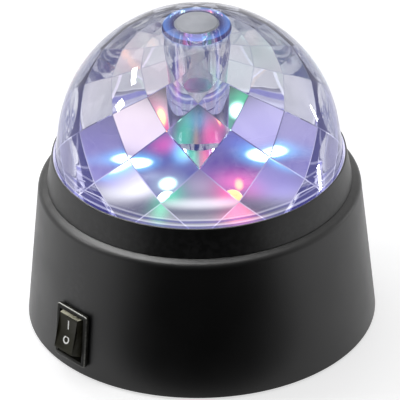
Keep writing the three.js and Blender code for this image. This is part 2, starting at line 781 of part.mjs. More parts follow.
function ledBoard() {
  const disc = bar(boardRadius, boardUnder, boardTop, innerSides);
  const shaftHole = bar(shaftRadius + boardHoleGap, boardUnder - cutOverrun, boardTop + cutOverrun);
  const screwHoles = thirdTurns.map((turn) => {
    const [x, y] = onCircle(lampCircleRadius, turn);
    return bar(screwHoleRadius, boardUnder - cutOverrun, boardTop + cutOverrun, smallSides, x, y);
  });
  const legHoles = lampTurns.flatMap((turn) => {
    const [x, y] = onCircle(lampCircleRadius, turn);
    const size = lampLegSize + seatGap;
    return [-1, 1].map((side) => (
      legBlock(side, size, boardUnder - cutOverrun, boardTop + cutOverrun).translate([x, y, 0])
    ));
  });
  return cut(disc, shaftHole, ...screwHoles, ...legHoles);
}

// A lamp with its flange on z = 0, and its legs below
function lamp() {
  const shoulder = lampHeight - lampRadius;
  const points = [
    [0, 0], [lampFlangeRadius, 0], [lampFlangeRadius, lampFlangeHeight],
    [lampRadius, lampFlangeHeight],
  ];
  const lensSteps = 3;
  for (let i = 0; i <= lensSteps; i += 1) {
    const [r, rise] = onCircle(lampRadius, Math.PI / 2 * i / lensSteps);
    points.push([i === lensSteps ? 0 : r, shoulder + rise]);
  }
  const legBottom = -boardThickness - lampLegProud;
  const legs = [-1, 1].map((side) => legBlock(side, lampLegSize, legBottom, lampFlangeHeight / 2));
  return joined(turned(points, smallSides), ...legs);
}

// Chassis deck

function gearboxCorners() {
  const tip = gearAddendum + gearboxSideGap;
  return {
    left: -outputRadius - tip,
    right: secondGearAt.x + wheelRadius + tip,
    front: firstGearAt.y - wheelRadius - tip,
    back: outputRadius + tip,
  };
}

// Three of the gearbox's four corners carry a screw post
function postPlaces() {
  const { left, right, front, back } = gearboxCorners();
  return [
    new THREE.Vector2(left + postInset, back - postInset),
    new THREE.Vector2(right - postInset, back - postInset),
    new THREE.Vector2(right - postInset, front + postInset),
  ];
}

function postHoles(radius, bottom, top) {
  return postPlaces().map(({ x, y }) => bar(radius, bottom, top, smallSides, x, y));
}

// Where leads pass up through the deck: between the last points of their routes below it
function leadHoleAt(...names) {
  const places = names.map((name) => leadRoutes[name].filter(([, , z]) => z < shellDeckUnder).at(-1));
  const middle = new THREE.Vector2();
  places.forEach(([x, y]) => middle.add(new THREE.Vector2(x, y)));
  return middle.divideScalar(places.length);
}

function chassisDeck() {
  const deckRadius = shellRadiusAt(shellDeckUnder) - shellWall - deckSideGap;
  const [low, high] = [deckUnder - cutOverrun, shellDeckUnder + cutOverrun];
  const disc = bar(deckRadius, deckUnder, shellDeckUnder, innerSides);
  const bushHole = bar(shaftRadius + runningGap + bushWall + pressGap, low, high);
  const leadHolePlaces = [
    leadHoleAt('lead_switch_board'), leadHoleAt('lead_battery_board'),
    leadHoleAt('lead_motor_plus', 'lead_motor_minus'),
  ];
  const leadHoles = leadHolePlaces.map(({ x, y }) => bar(leadHoleRadius, low, high, smallSides, x, y));
  return cut(
    disc, bushHole, ...leadHoles,
    ...postHoles(screwHoleRadius, low, high),
    ...thirdTurns.map((turn) => chassisHole(turn, deckUnder, shellDeckUnder)),
  );
}

// Gears

function involute(angle) {
  return Math.tan(angle) - angle;
}

// The outline of a gear with a tooth centred on the given turn
function gearOutline(teeth, turn, flankSteps) {
  const pitchRadius = gearModule * teeth / 2;
  const baseCircle = pitchRadius * Math.cos(pressureAngle);
  const tip = pitchRadius + gearAddendum;
  const root = pitchRadius - gearModule * dedendumShare;
  const start = Math.max(root, baseCircle);
  const halfTooth = toothThicknessShare * Math.PI / (2 * teeth) + involute(pressureAngle);
  const radii = flankSteps > 1 && baseCircle > root ? [root] : [];
  for (let i = 0; i <= flankSteps; i += 1) radii.push(start + (tip - start) * i / flankSteps);
  const flank = radii.map((r) => {
    const angle = Math.acos(Math.min(1, baseCircle / r));
    return [r, halfTooth - involute(angle)];
  });
  const points = [];
  for (let tooth = 0; tooth < teeth; tooth += 1) {
    const middle = turn + tooth * 2 * Math.PI / teeth;
    flank.forEach(([r, half]) => points.push(stepFrom({ x: 0, y: 0 }, middle - half, r)));
    [...flank].reverse().forEach(([r, half]) => points.push(stepFrom({ x: 0, y: 0 }, middle + half, r)));
  }
  return points;
}

const pinionFlankSteps = 2;
const wheelFlankSteps = 1;

function gearSolid(teeth, turn, bottom, top) {
  const flankSteps = teeth > 2 * pinionTeeth ? wheelFlankSteps : pinionFlankSteps;
  return raised(gearOutline(teeth, turn, flankSteps), bottom, top);
}

// The turn that puts a gap of the second gear on a tooth of the first
function meshedTurn(teeth, turn, direction, nextTeeth) {
  const phase = (direction - turn) * teeth / (2 * Math.PI);
  const halfTooth = 0.5;
  return direction + Math.PI - (halfTooth - phase) * 2 * Math.PI / nextTeeth;
}

const pinionTurn = 0;
const firstWheelTurn = meshedTurn(pinionTeeth, pinionTurn, motorTurn + Math.PI, wheelTeeth);
const secondWheelTurn = meshedTurn(pinionTeeth, pinionTurn, firstGearTurn + Math.PI, wheelTeeth);
const outputTurn = meshedTurn(pinionTeeth, pinionTurn, Math.PI, outputTeeth);

// A wheel with a pinion above it on one hub, turning on a fixed pin
function compoundGear(wheelBottom, wheelTurn, hubBottom) {
  const wheelTop = wheelBottom + gearWidth;
  const pinionTop = wheelTop + gearLayerGap + gearWidth;
  const solid = joined(
    gearSolid(wheelTeeth, wheelTurn, wheelBottom, wheelTop),
    gearSolid(pinionTeeth, pinionTurn, wheelTop - gearLayerGap, pinionTop),
    bar(gearHubRadius, hubBottom, wheelTop, smallSides),
  );
  const bore = gearPinRadius + runningGap;
  return cut(solid, hole(bore, hubBottom - cutOverrun, pinionTop + cutOverrun, smallSides));
}

function outputGear() {
  const top = thirdLayer + gearWidth;
  const wheel = gearSolid(outputTeeth, outputTurn, thirdLayer, top);
  const bore = shaftRadius + pressGap;
  return cut(wheel, bar(bore, thirdLayer - cutOverrun, top + cutOverrun));
}

function motorPinion() {
  const wheel = gearSolid(pinionTeeth, pinionTurn, firstLayer, firstLayer + gearWidth);
  const bore = motorShaftRadius + pressGap;
  return cut(wheel, bar(bore, firstLayer - cutOverrun, firstLayer + gearWidth + cutOverrun, smallSides));
}

// Gearbox

function gearboxOutline(grow) {
  const { left, right, front, back } = gearboxCorners();
  return roundedRectangle(left - grow, front - grow, right + grow, back + grow, gearboxCorner);
}

function gearboxCase() {
  const cupOuter = motorRadius + pressGap + motorCupWall;
  const outer = joined(
    raised(gearboxOutline(gearboxWall), gearboxUnder, lidUnder),
    bar(cupOuter, gearboxUnder - motorCupDepth, gearboxFloorTop, partSides, motorAt.x, motorAt.y),
  );
  const posts = postHoles(postRadius, gearboxFloorTop - gearboxFloor / 2, lidUnder)
    .map((post) => post.intersect(raised(gearboxOutline(gearboxWall), gearboxUnder, lidUnder)));
  const room = raised(gearboxOutline(0), gearboxFloorTop, lidUnder + cutOverrun);
  const cup = bar(
    motorRadius + pressGap, gearboxUnder - motorCupDepth - cutOverrun, gearboxUnder,
    partSides, motorAt.x, motorAt.y,
  );
  const nose = hole(
    motorNoseRadius + motorNoseGap, gearboxUnder - cutOverrun, gearboxFloorTop + cutOverrun,
    partSides, motorAt.x, motorAt.y,
  );
  const journal = hole(journalRadius + runningGap, gearboxFloorTop - journalDepth, lidUnder);
  const pinHoles = [firstGearAt, secondGearAt].map(({ x, y }) => (
    bar(gearPinRadius + pressGap, gearboxFloorTop - journalDepth, lidUnder, smallSides, x, y)
  ));
  const hollowed = joined(cut(outer, room), ...posts);
  const screwBottom = lidUnder - gearboxScrewBite - screwPointGap;
  const threads = postHoles(screwShankRadius + screwThreadGap, screwBottom, lidUnder + cutOverrun);
  return cut(hollowed, cup, nose, journal, ...pinHoles, ...threads);
}

function gearboxLid() {
  const plate = raised(gearboxOutline(gearboxWall), lidUnder, deckUnder);
  const [low, high] = [lidUnder - cutOverrun, deckUnder + cutOverrun];
  const bushHole = bar(shaftRadius + runningGap + bushWall + pressGap, low, high);
  const pinHoles = [firstGearAt, secondGearAt].map(({ x, y }) => (
    bar(gearPinRadius + pressGap, low, high, smallSides, x, y)
  ));
  return cut(plate, bushHole, ...pinHoles, ...postHoles(screwHoleRadius, low, high));
}

function shaftBush() {
  const bore = (shaftRadius + runningGap) / Math.cos(Math.PI / partSides);
  const outer = shaftRadius + runningGap + bushWall;
  const flangeTop = shellDeckUnder + bushFlangeHeight;
  return turned([
    [bore, lidUnder], [outer, lidUnder], [outer, shellDeckUnder],
    [bushFlangeRadius, shellDeckUnder], [bushFlangeRadius, flangeTop], [bore, flangeTop],
  ], partSides);
}

function outputShaft() {
  const journalBottom = gearboxFloorTop - journalDepth + runningGap;
  const lower = turned([
    [0, journalBottom], [journalRadius, journalBottom], [journalRadius, thirdLayer],
    [shaftRadius, thirdLayer], [shaftRadius, shaftFlangeZ],
    [shaftFlangeRadius, shaftFlangeZ], [shaftFlangeRadius, tubeFoot], [0, tubeFoot],
  ], partSides);
  const end = tubeFoot + shaftSocketDepth - shaftEndGap;
  return joined(lower, drivenEnd(shaftRadius, tubeFoot - shaftFlat, end, 0));
}

// Motor, with its axis on x = y = 0

function motorSection(radius, flatWidth, bottom, top) {
  const sides = block([-2 * radius, -flatWidth / 2, bottom], [2 * radius, flatWidth / 2, top]);
  return bar(radius, bottom, top).intersect(sides);
}

function motorCan() {
  const bottom = gearboxUnder - motorLength;
  const nose = bar(motorNoseRadius, gearboxUnder - motorCanWall / 2, gearboxUnder + motorNoseHeight);
  const can = joined(motorSection(motorRadius, motorFlatWidth, bottom, gearboxUnder), nose);
  const room = motorSection(
    motorRadius - motorCanWall, motorFlatWidth - 2 * motorCanWall,
    bottom - cutOverrun, gearboxUnder - motorCanWall,
  );
  const bore = hole(
    motorShaftRadius + runningGap, bottom, gearboxUnder + motorNoseHeight + cutOverrun, smallSides,
  );
  return cut(can, room, bore);
}

function motorEndCap() {
  const top = gearboxUnder - motorLength;
  const plate = motorSection(motorRadius, motorFlatWidth, top - motorCapThickness, top);
  const tabs = [-1, 1].map((side) => {
    const x = side * motorTabSpacing / 2;
    const tabTop = top - motorCapThickness / 2;
    return block(
      [x - motorTabWidth / 2, -motorTabThickness / 2, tabTop - motorCapThickness / 2 - motorTabLength],
      [x + motorTabWidth / 2, motorTabThickness / 2, tabTop],
    );
  });
  const bore = hole(
    motorShaftRadius + runningGap, top - motorCapThickness / 2, top + cutOverrun, smallSides,
  );
  return cut(joined(plate, ...tabs), bore);
}

function motorRotor() {
  const top = firstLayer + gearWidth;
  const bottom = gearboxUnder - motorLength - motorCapThickness / 2 + runningGap;
  const armatureTop = gearboxUnder - motorCanWall - armatureEndGap;
  return turned([
    [0, bottom], [motorShaftRadius, bottom],
    [motorShaftRadius, armatureTop - armatureLength], [armatureRadius, armatureTop - armatureLength],
    [armatureRadius, armatureTop], [motorShaftRadius, armatureTop],
    [motorShaftRadius, top], [0, top],
  ], smallSides);
}

// Bottom cover, feet, door and battery bay

function bottomCover() {
  const radius = shellRadiusAt(coverTop) - shellWall - coverSideGap;
  const outerX = bayHalfLength + bayWall;
  const bay = block(
    [-outerX, bayFrontY, coverTop - coverThickness / 2], [outerX, bayInnerBack + bayWall, bayTop],
  );
  const room = block(
    [-bayHalfLength, bayInnerFront, coverUnder - cutOverrun], [bayHalfLength, bayInnerBack, bayRoofUnder],
  );
  const screwHoles = coverTurns.flatMap((turn) => {
    const [x, y] = onCircle(coverBossCircle, turn);
    const headTop = coverUnder + coverThickness / 2;
    return [
      bar(screwHoleRadius, coverUnder - cutOverrun, coverTop + cutOverrun, smallSides, x, y),
      bar(screwHeadRadius + screwHeadGap, coverUnder - cutOverrun, headTop, smallSides, x, y),
    ];
  });
  const footRecesses = thirdTurns.map((turn) => {
    const [x, y] = onCircle(footCircleRadius, turn);
    return bar(footRadius + footRecessGap, coverUnder - cutOverrun, footThickness, partSides, x, y);
  });
  const hingeBore = new THREE.CylinderGeometry(
    doorPinRadius + doorPinGap, doorPinRadius + doorPinGap,
    2 * (bayHalfLength + doorPinLength), smallSides,
  ).rotateZ(Math.PI / 2).translate(0, doorHingeY, doorHingeZ);
  const leadBores = [[1, 0], [-1, cellCount - 1]].map(([side, cell]) => {
    const bore = new THREE.CylinderGeometry(
      leadRadius + seatGap, leadRadius + seatGap, 2 * bayWall + cutOverrun, smallSides,
    );
    bore.rotateZ(Math.PI / 2);
    return asSolid(bore.translate(side * (bayHalfLength + bayWall / 2), cellY(cell), cellZ));
  });
  return cut(
    joined(bar(radius, coverUnder, coverTop, innerSides), bay),
    room, asSolid(hingeBore), ...screwHoles, ...footRecesses, ...leadBores,
  );
}

function cellY(cell) {
  return bayInnerFront + cellGap + cellRadius + cell * cellPitch;
}

function foot() {
  return turned([
    [0, 0], [footRadius - footRound, 0], [footRadius, footRound],
    [footRadius, footThickness], [0, footThickness],
  ], partSides);
}

function batteryDoor() {
  const half = bayHalfLength - doorGap;
  const farEdge = bayInnerBack - doorGap;
  const slab = block([-half, doorHingeY, coverUnder], [half, farEdge, doorTop]);
  const alongX = (radius, length) => asSolid(
    new THREE.CylinderGeometry(radius, radius, length, partSides)
      .rotateZ(Math.PI / 2).translate(0, doorHingeY, doorHingeZ),
  );
  const nose = alongX(doorNoseRadius, 2 * half);
  const pins = alongX(doorPinRadius, 2 * (bayHalfLength + doorPinLength - doorPinGap));
  const gripBack = farEdge - doorGripInset;
  const grip = block(
    [-doorGripWidth / 2, gripBack - doorGripLength, coverUnder - cutOverrun],
    [doorGripWidth / 2, gripBack, coverUnder + doorGripDepth],
  );
  return cut(joined(slab, nose, pins), grip);
}

// A cell along X with its positive end towards +X and its middle at x = 0
function batteryCell() {
  const back = -cellLength / 2;
  const front = cellLength / 2 - cellNubLength;
  const geometry = turned([
    [0, back], [cellRadius, back], [cellRadius, front],
    [cellNubRadius, front], [cellNubRadius, cellLength / 2], [0, cellLength / 2],
  ], partSides);
  return geometry.rotate([0, 90, 0]);
}

// The helix of a conical contact spring, which starts inside its contact plate
class ConicalHelix extends THREE.Curve {
  getPoint(t, target = new THREE.Vector3()) {
    const radius = springBaseRadius + (springTipRadius - springBaseRadius) * t;
    const [y, z] = onCircle(radius, t * springTurns * 2 * Math.PI);
    const rise = springWireRadius + (springLength - 2 * springWireRadius) * t;
    return target.set(rise, y, z);
  }
}

const springStepsPerTurn = 8;
const springSides = 5;

function leastSpringGap() {
  const path = new ConicalHelix();
  const count = springTurns * springStepsPerTurn;
  const points = path.getPoints(count);
  let least = Infinity;
  points.forEach((point, index) => {
    points.slice(index + springStepsPerTurn / 2).forEach((other) => {
      least = Math.min(least, point.distanceTo(other));
    });
  });
  return least - 2 * springWireRadius;
}

// A spring that stands on a plate's face at x = 0 and points towards +X
function contactSpring() {
  const steps = springTurns * springStepsPerTurn;
  const helix = tube(new ConicalHelix(), springWireRadius, steps, springSides);
  const root = block(
    [-contactThickness / 2, springBaseRadius - springWireRadius, -springWireRadius],
    [springWireRadius, springBaseRadius + springWireRadius, springWireRadius],
  );
  return joined(helix, root);
}

// A contact on the bay's end wall: a plate over some cells, with a spring on one
function batteryContact(side, cells, springCell) {
  const face = bayHalfLength - contactThickness;
  const low = cellY(cells[0]) - contactWidth / 2;
  const high = cellY(cells.at(-1)) + contactWidth / 2;
  const x = [side * face, side * bayHalfLength].sort((a, b) => a - b);
  const plate = block(
    [x[0], low, cellZ - contactHeight / 2], [x[1], high, cellZ + contactHeight / 2],
  );
  if (springCell === null) return plate;
  const spring = side > 0 ? contactSpring().rotate([0, 0, 180]) : contactSpring();
  return joined(plate, spring.translate([side * face, cellY(springCell), cellZ]));
}

// Rocker switch: x across, -y out of the wall, z up; the flange's face at y = 0

function switchBox(width, height, front, back) {
  return block([-width / 2, front, -height / 2], [width / 2, back, height / 2]);
}

function switchHousing() {
  const outline = roundedRectangle(
    -switchFlangeWidth / 2, -switchFlangeHeight / 2,
    switchFlangeWidth / 2, switchFlangeHeight / 2, switchFlangeCorner,
  );
  const flange = raised(outline, -switchFlangeThickness, 0).rotate([90, 0, 0]);
  const body = switchBox(switchBodyWidth, switchBodyHeight, switchFlangeThickness / 2, switchBodyDepth);
  const room = switchBox(
    switchBodyWidth - 2 * switchBodyWall, switchBodyHeight - 2 * switchBodyWall,
    -cutOverrun, switchBodyDepth - switchFloor,
  );
  const pivotHalf = rockerBaseWidth / 2 + rockerPinLength + rockerPinGap;
  const pivot = rockerBar(rockerPinRadius + rockerPinGap, pivotHalf);
  const slots = [-1, 1].map((side) => terminalBlock(side, seatGap / 2, -cutOverrun));
  return cut(joined(flange, body), room, pivot, ...slots);
}

function rockerBar(radius, halfLength) {
  const geometry = new THREE.CylinderGeometry(radius, radius, 2 * halfLength, partSides);
  return asSolid(geometry.rotateZ(Math.PI / 2).translate(0, rockerPivotDepth, 0));
}

function terminalBlock(side, grow, endGrow) {
  const z = side * terminalSpacing / 2;
  const front = switchBodyDepth - switchFloor;
  return block(
    [-terminalWidth / 2 - grow, front + endGrow, z - terminalThickness / 2 - grow],
    [terminalWidth / 2 + grow, switchBodyDepth + terminalLength, z + terminalThickness / 2 + grow],
  );
}

// The rocker's side outline as [outwards from the pivot, up], level, upper half
function rockerOutline() {
  const upper = [
    [rockerFaceReach + rockerHalfLength * Math.sin(rockerTilt), rockerHalfLength * Math.cos(rockerTilt)],
    [rockerBaseReach, rockerBaseHalf],
    [rockerKneeReach, rockerKneeHalf],
    [-rockerTailReach, rockerTailHalf],
  ];
  const lower = [...upper].reverse().map(([out, up]) => [out, -up]);
  return [[rockerFaceReach, 0], ...upper, ...lower];
}

function rocker() {
  const half = rockerBaseWidth / 2;
  const sideOutline = rockerOutline().map(([out, up]) => new THREE.Vector2(-out, up));
  const slab = raised(sideOutline, -half, half).rotate([90, 0, 90]);
  const faceHalf = rockerFaceWidth / 2;
  const faceReach = rockerFaceReach + rockerHalfLength * Math.sin(rockerTilt);
  const crossOutline = [
    [-half, rockerTailReach + cutOverrun], [half, rockerTailReach + cutOverrun], [half, -rockerBaseReach],
    [faceHalf, -faceReach], [-faceHalf, -faceReach], [-half, -rockerBaseReach],
  ].map(([x, y]) => new THREE.Vector2(x, y));
  const taper = raised(crossOutline, -2 * rockerBaseHalf, 2 * rockerBaseHalf);
  const pins = rockerBar(rockerPinRadius, half + rockerPinLength).translate([0, -rockerPivotDepth, 0]);
  const tilted = joined(slab.intersect(taper), pins)
    .rotate([-THREE.MathUtils.radToDeg(rockerTilt), 0, 0]);
  return tilted.translate([0, rockerPivotDepth, 0]);
}

// Inner leads

function lead(points) {
  const path = new THREE.CatmullRomCurve3(points.map((point) => new THREE.Vector3(...point)));
  const steps = Math.round(path.getLength() / leadStep);
  return tube(path, leadRadius, steps, leadSides);
}

// Assembly

const light = new THREE.Group();

function addAt(parent, name, solid, finish, x = 0, y = 0, z = 0) {
  const mesh = piece(name, solid, finish);
  mesh.position.set(x, y, z);
  parent.add(mesh);
  return mesh;
}

function addRing(name, solid, finish, radius, turns, z) {
  turns.forEach((turn, index) => {
    const [x, y] = onCircle(radius, turn);
    addAt(light, `${name}_${index + 1}`, solid, finish, x, y, z);
  });
}

function addBase() {
  addAt(light, 'base_shell', baseShell(), finishes.blackPlastic);
  addAt(light, 'top_collar', topCollar(), finishes.blackPlastic);
  addAt(light, 'chassis_deck', chassisDeck(), finishes.blackPlastic);
  const chassisShank = deckThickness + shellWall + chassisScrewBite;
  addRing('chassis_screw', screw(chassisShank), finishes.steel, chassisScrewCircle, thirdTurns, deckUnder);
  addAt(light, 'bottom_cover', bottomCover(), finishes.blackPlastic);
  const coverShank = coverThickness / 2 + coverScrewBite;
  const coverSeat = coverUnder + coverThickness / 2;
  addRing('cover_screw', screw(coverShank, true), finishes.steel, coverBossCircle, coverTurns, coverSeat);
  addRing('rubber_foot', foot(), finishes.rubber, footCircleRadius, thirdTurns, 0);
  addAt(light, 'battery_door', batteryDoor(), finishes.blackPlastic);
}

function addLamps() {
  addAt(light, 'reflector_plate', reflectorPlate(), finishes.silverPlastic);
  addAt(light, 'led_board', ledBoard(), finishes.boardGreen);
  const shank = boardThickness + boardScrewBite;
  addRing('board_screw', screw(shank), finishes.steel, lampCircleRadius, thirdTurns, boardUnder);
  const names = ['blue_right', 'green_back', 'red_back', 'blue_left', 'green_front', 'red_front'];
  names.forEach((name, index) => {
    const [x, y] = onCircle(lampCircleRadius, lampTurns[index]);
    addAt(light, `led_${name}`, lamp(), finishes[`${name.split('_')[0]}Lamp`], x, y, boardTop);
  });
}

function addDrive() {
  const { x: firstX, y: firstY } = firstGearAt;
  const { x: secondX, y: secondY } = secondGearAt;
  addAt(light, 'gearbox_case', gearboxCase(), finishes.greyPlastic);
  addAt(light, 'gearbox_lid', gearboxLid(), finishes.greyPlastic);
  const shank = deckThickness + gearboxLidThickness + gearboxScrewBite;
  postPlaces().forEach(({ x, y }, index) => {
    const solid = screw(shank).rotate([180, 0, 0]);
    addAt(light, `gearbox_screw_${index + 1}`, solid, finishes.steel, x, y, shellDeckUnder);
  });
  addAt(light, 'shaft_bush', shaftBush(), finishes.bronze);
  const pinBottom = gearboxFloorTop - journalDepth;
  const pin = bar(gearPinRadius, pinBottom, deckUnder, smallSides);
  addAt(light, 'first_gear_pin', pin, finishes.steel, firstX, firstY);
  addAt(light, 'second_gear_pin', pin, finishes.steel, secondX, secondY);
  const firstGear = compoundGear(firstLayer, firstWheelTurn, firstLayer);
  addAt(light, 'first_gear', firstGear, finishes.whiteNylon, firstX, firstY);
  const secondGear = compoundGear(secondLayer, secondWheelTurn, firstLayer);
  addAt(light, 'second_gear', secondGear, finishes.whiteNylon, secondX, secondY);
  addAt(light, 'output_gear', outputGear(), finishes.whiteNylon);
  addAt(light, 'output_shaft', outputShaft(), finishes.steel);
  addAt(light, 'motor_can', motorCan(), finishes.steel, motorAt.x, motorAt.y);
  addAt(light, 'motor_end_cap', motorEndCap(), finishes.whiteNylon, motorAt.x, motorAt.y);
  addAt(light, 'motor_rotor', motorRotor(), finishes.steel, motorAt.x, motorAt.y);
  addAt(light, 'motor_pinion', motorPinion(), finishes.brass, motorAt.x, motorAt.y);
}

function addDome() {
  addAt(light, 'crystal_dome', crystalDome(), finishes.clearPlastic);
  addAt(light, 'dome_cap', domeCap(), finishes.greyPlastic);
}

function addBattery() {
  const plusFace = bayHalfLength - contactThickness - contactGap;
  const plusMiddle = plusFace - cellLength / 2;
  for (let cell = 0; cell < cellCount; cell += 1) {
    const side = cell % 2 === 0 ? 1 : -1;
    const solid = side > 0 ? batteryCell() : batteryCell().rotate([0, 0, 180]);
    const name = `battery_cell_${cell + 1}`;
    addAt(light, name, solid, finishes.cellJacket, side * plusMiddle, cellY(cell), cellZ);
  }
  addAt(light, 'contact_plus', batteryContact(1, [0], null), finishes.steel);
  addAt(light, 'contact_bridge_left', batteryContact(-1, [0, 1], 0), finishes.steel);
  addAt(light, 'contact_bridge_right', batteryContact(1, [1, 2], 1), finishes.steel);
  addAt(light, 'contact_minus', batteryContact(-1, [2], 2), finishes.steel);
}

function addSwitch() {
  const frame = new THREE.Group();
  frame.applyMatrix4(switchPlace());
  const front = -switchFlangeThickness - switchFlangeStandoff;
  addAt(frame, 'switch_housing', switchHousing(), finishes.glossBlack, 0, front, 0);
  addAt(frame, 'switch_rocker', rocker(), finishes.glossBlack, 0, front, 0);
  addAt(frame, 'switch_terminal_upper', terminalBlock(1, 0, 0), finishes.brass, 0, front, 0);
  addAt(frame, 'switch_terminal_lower', terminalBlock(-1, 0, 0), finishes.brass, 0, front, 0);
  light.add(frame);
}

function addLeads() {
  const blackLeads = ['lead_battery_board', 'lead_motor_minus'];
  Object.entries(leadRoutes).forEach(([name, points]) => {
    const finish = blackLeads.includes(name) ? finishes.blackLead : finishes.redLead;
    addAt(light, name, lead(points), finish);
  });
}

addBase();
addLamps();
addDrive();
addDome();
addBattery();
addSwitch();
addLeads();
console.log(`Least gap between the turns of a contact spring: ${leastSpringGap().toFixed(2)} mm`);

export default light;
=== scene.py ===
# Rotating disco ball light: a black base with a rocker switch, and a clear faceted
# dome over six coloured lamps. Sizes are in millimetres and turned into metres.
import bpy
import bmesh
from math import acos, asin, atan2, copysign, cos, degrees, pi, radians, sin, sqrt
from mathutils import Matrix, Vector


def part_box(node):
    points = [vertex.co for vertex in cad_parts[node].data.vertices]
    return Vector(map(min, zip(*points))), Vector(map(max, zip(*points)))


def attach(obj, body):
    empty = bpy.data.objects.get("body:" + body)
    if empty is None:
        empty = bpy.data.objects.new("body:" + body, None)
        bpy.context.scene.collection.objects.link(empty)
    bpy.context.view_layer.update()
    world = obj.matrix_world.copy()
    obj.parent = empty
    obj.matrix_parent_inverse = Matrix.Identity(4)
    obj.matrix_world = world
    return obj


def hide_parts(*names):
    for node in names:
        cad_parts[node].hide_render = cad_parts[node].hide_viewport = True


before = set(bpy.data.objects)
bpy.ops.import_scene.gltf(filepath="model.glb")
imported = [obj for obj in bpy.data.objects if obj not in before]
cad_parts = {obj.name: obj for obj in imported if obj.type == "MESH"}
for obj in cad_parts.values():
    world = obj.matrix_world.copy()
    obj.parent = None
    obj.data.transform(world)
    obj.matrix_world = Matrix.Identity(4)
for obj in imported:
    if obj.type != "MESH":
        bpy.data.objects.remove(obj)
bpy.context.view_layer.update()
scene = bpy.context.scene
mm = 0.001
black, white = (0, 0, 0), (1, 1, 1)


def take(source, names):
    return [source[name] for name in names.split()]


def nodeLow(node):
    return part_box(node)[0] / mm


def nodeHigh(node):
    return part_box(node)[1] / mm


# Heights and radii that more than one piece uses, read from the frame
shellRadius, shellTop = nodeHigh("base_shell").xz
shellBottom = nodeLow("base_shell").z
collarFoot, collarTop = nodeHigh("top_collar").xz
plateRadius, plateTop = nodeHigh("reflector_plate").xz
domeBottom = nodeLow("crystal_dome").z
domeTop = nodeHigh("dome_cap").z
skirtRadius = nodeHigh("crystal_dome").x
skirtProud = 1.1
domeRadius = skirtRadius - skirtProud
domeCentre = domeTop - domeRadius
ledge = {"width": 3.2, "fall": 1.3}
shoulderRadius = collarFoot + ledge["width"]
shoulderHeight = shellTop - ledge["fall"]
boardTop = nodeHigh("led_board").z

# How the studio stands round the light: angles in degrees, clip in metres
studio = {
    "pitch": 31.42, "roll": -1.11, "target": 46.3, "distance": 2954, "sensor": 36,
    "lens": 725.3, "clip": (0.1, 20),
    "floorSize": 6000, "floorColor": (0.66, 0.66, 0.67), "floorShade": (0.68, 0.68, 0.68),
    "floorDrift": 0.2, "floorPatch": 400, "floorGlow": 0.62,
    "cardColor": (0.02, 0.02, 0.02), "cardHalfWidth": (35, 150), "cardStart": (60, 80),
    "cardSpread": 0.85, "paperPatch": 110, "paperLevels": (0.68, 1.0),
    "sideCardSize": 40, "sideCardFrom": (55, 85), "sideCardBehind": (135, 175),
    "sideCardEdges": (0.42, 0.52), "sideCardColor": (0.05, 0.07, 0.22),
    "ambient": 0.42, "wallTurn": (-0.45, 0.35), "wallSide": 0.5, "wallLevels": (0.03, 0.85),
    "panelScale": 11, "panelDetail": 2, "panelEdges": (0.4, 0.54),
    "panelShade": (0.04, 0.05, 0.13), "panelColor": (0.9, 0.91, 0.92),
}


def addObject(name, data):
    thing = bpy.data.objects.new(name, data)
    scene.collection.objects.link(thing)
    return thing


def adjust(thing, settings):
    for name, value in settings.items():
        setattr(thing, name, value)


def makeCamera():
    pitch, roll = radians(studio["pitch"]), radians(studio["roll"])
    data = bpy.data.cameras.new("camera")
    data.sensor_width, data.lens = studio["sensor"], studio["lens"]
    data.clip_start, data.clip_end = studio["clip"]
    turn = Matrix.Rotation(pi / 2 - pitch, 4, "X") @ Matrix.Rotation(roll, 4, "Z")
    back = studio["distance"] * Vector((0, -cos(pitch), sin(pitch)))
    spot = Vector((0, 0, studio["target"])) + back
    scene.camera = addObject("camera", data)
    scene.camera.matrix_world = Matrix.Translation(spot * mm) @ turn


# Node helpers; an input takes a number, a colour or another node's output


def setInput(node, name, value):
    socket = node.inputs[name]
    if isinstance(value, bpy.types.NodeSocket):
        node.id_data.links.new(value, socket)
    elif socket.type == "RGBA":
        socket.default_value = (*value, 1)
    else:
        socket.default_value = value


def setInputs(node, inputs):
    for name, value in inputs.items():
        setInput(node, name, value)


def addNode(tree, kind, inputs=None, **settings):
    node = tree.nodes.new("ShaderNode" + kind)
    adjust(node, settings)
    setInputs(node, inputs or {})
    return node


def joinNode(kind, inputs, **settings):
    # Adds a node to the tree of the outputs that it takes
    taken = [value for value in inputs.values() if isinstance(value, bpy.types.NodeSocket)]
    return addNode(taken[0].id_data, kind, inputs, **settings)


def calc(operation, *values):
    return joinNode("Math", dict(enumerate(values)), operation=operation).outputs[0]


def times(product, *others):
    for value in others:
        product = calc("MULTIPLY", product, value)
    return product


def vectorCalc(operation, *values):
    node = joinNode("VectorMath", dict(enumerate(values)), operation=operation)
    return node.outputs["Value" if operation == "LENGTH" else "Vector"]


def ramp(value, fromLow, fromHigh, toLow=0.0, toHigh=1.0, kind="SMOOTHSTEP"):
    names = ("Value", "From Min", "From Max", "To Min", "To Max")
    inputs = dict(zip(names, (value, fromLow, fromHigh, toLow, toHigh)))
    return joinNode("MapRange", inputs, interpolation_type=kind).outputs["Result"]


def mask(*fades):
    # The product of fades, each a value and where it starts and is full, in millimetres
    return times(*[ramp(value, start * mm, full * mm) for value, start, full in fades])


def blendColor(factor, first, second):
    return joinNode("Mix", {0: factor, 6: first, 7: second}, data_type="RGBA").outputs[2]


def blendValue(factor, first, second):
    return joinNode("Mix", {0: factor, 2: first, 3: second}, data_type="FLOAT").outputs[0]


def objectPlace(tree):
    return addNode(tree, "TexCoord").outputs["Object"]


def axes(tree, vector=None):
    # X, Y and Z of a vector, or of the place on the object
    vector = objectPlace(tree) if vector is None else vector
    return addNode(tree, "SeparateXYZ", {0: vector}).outputs


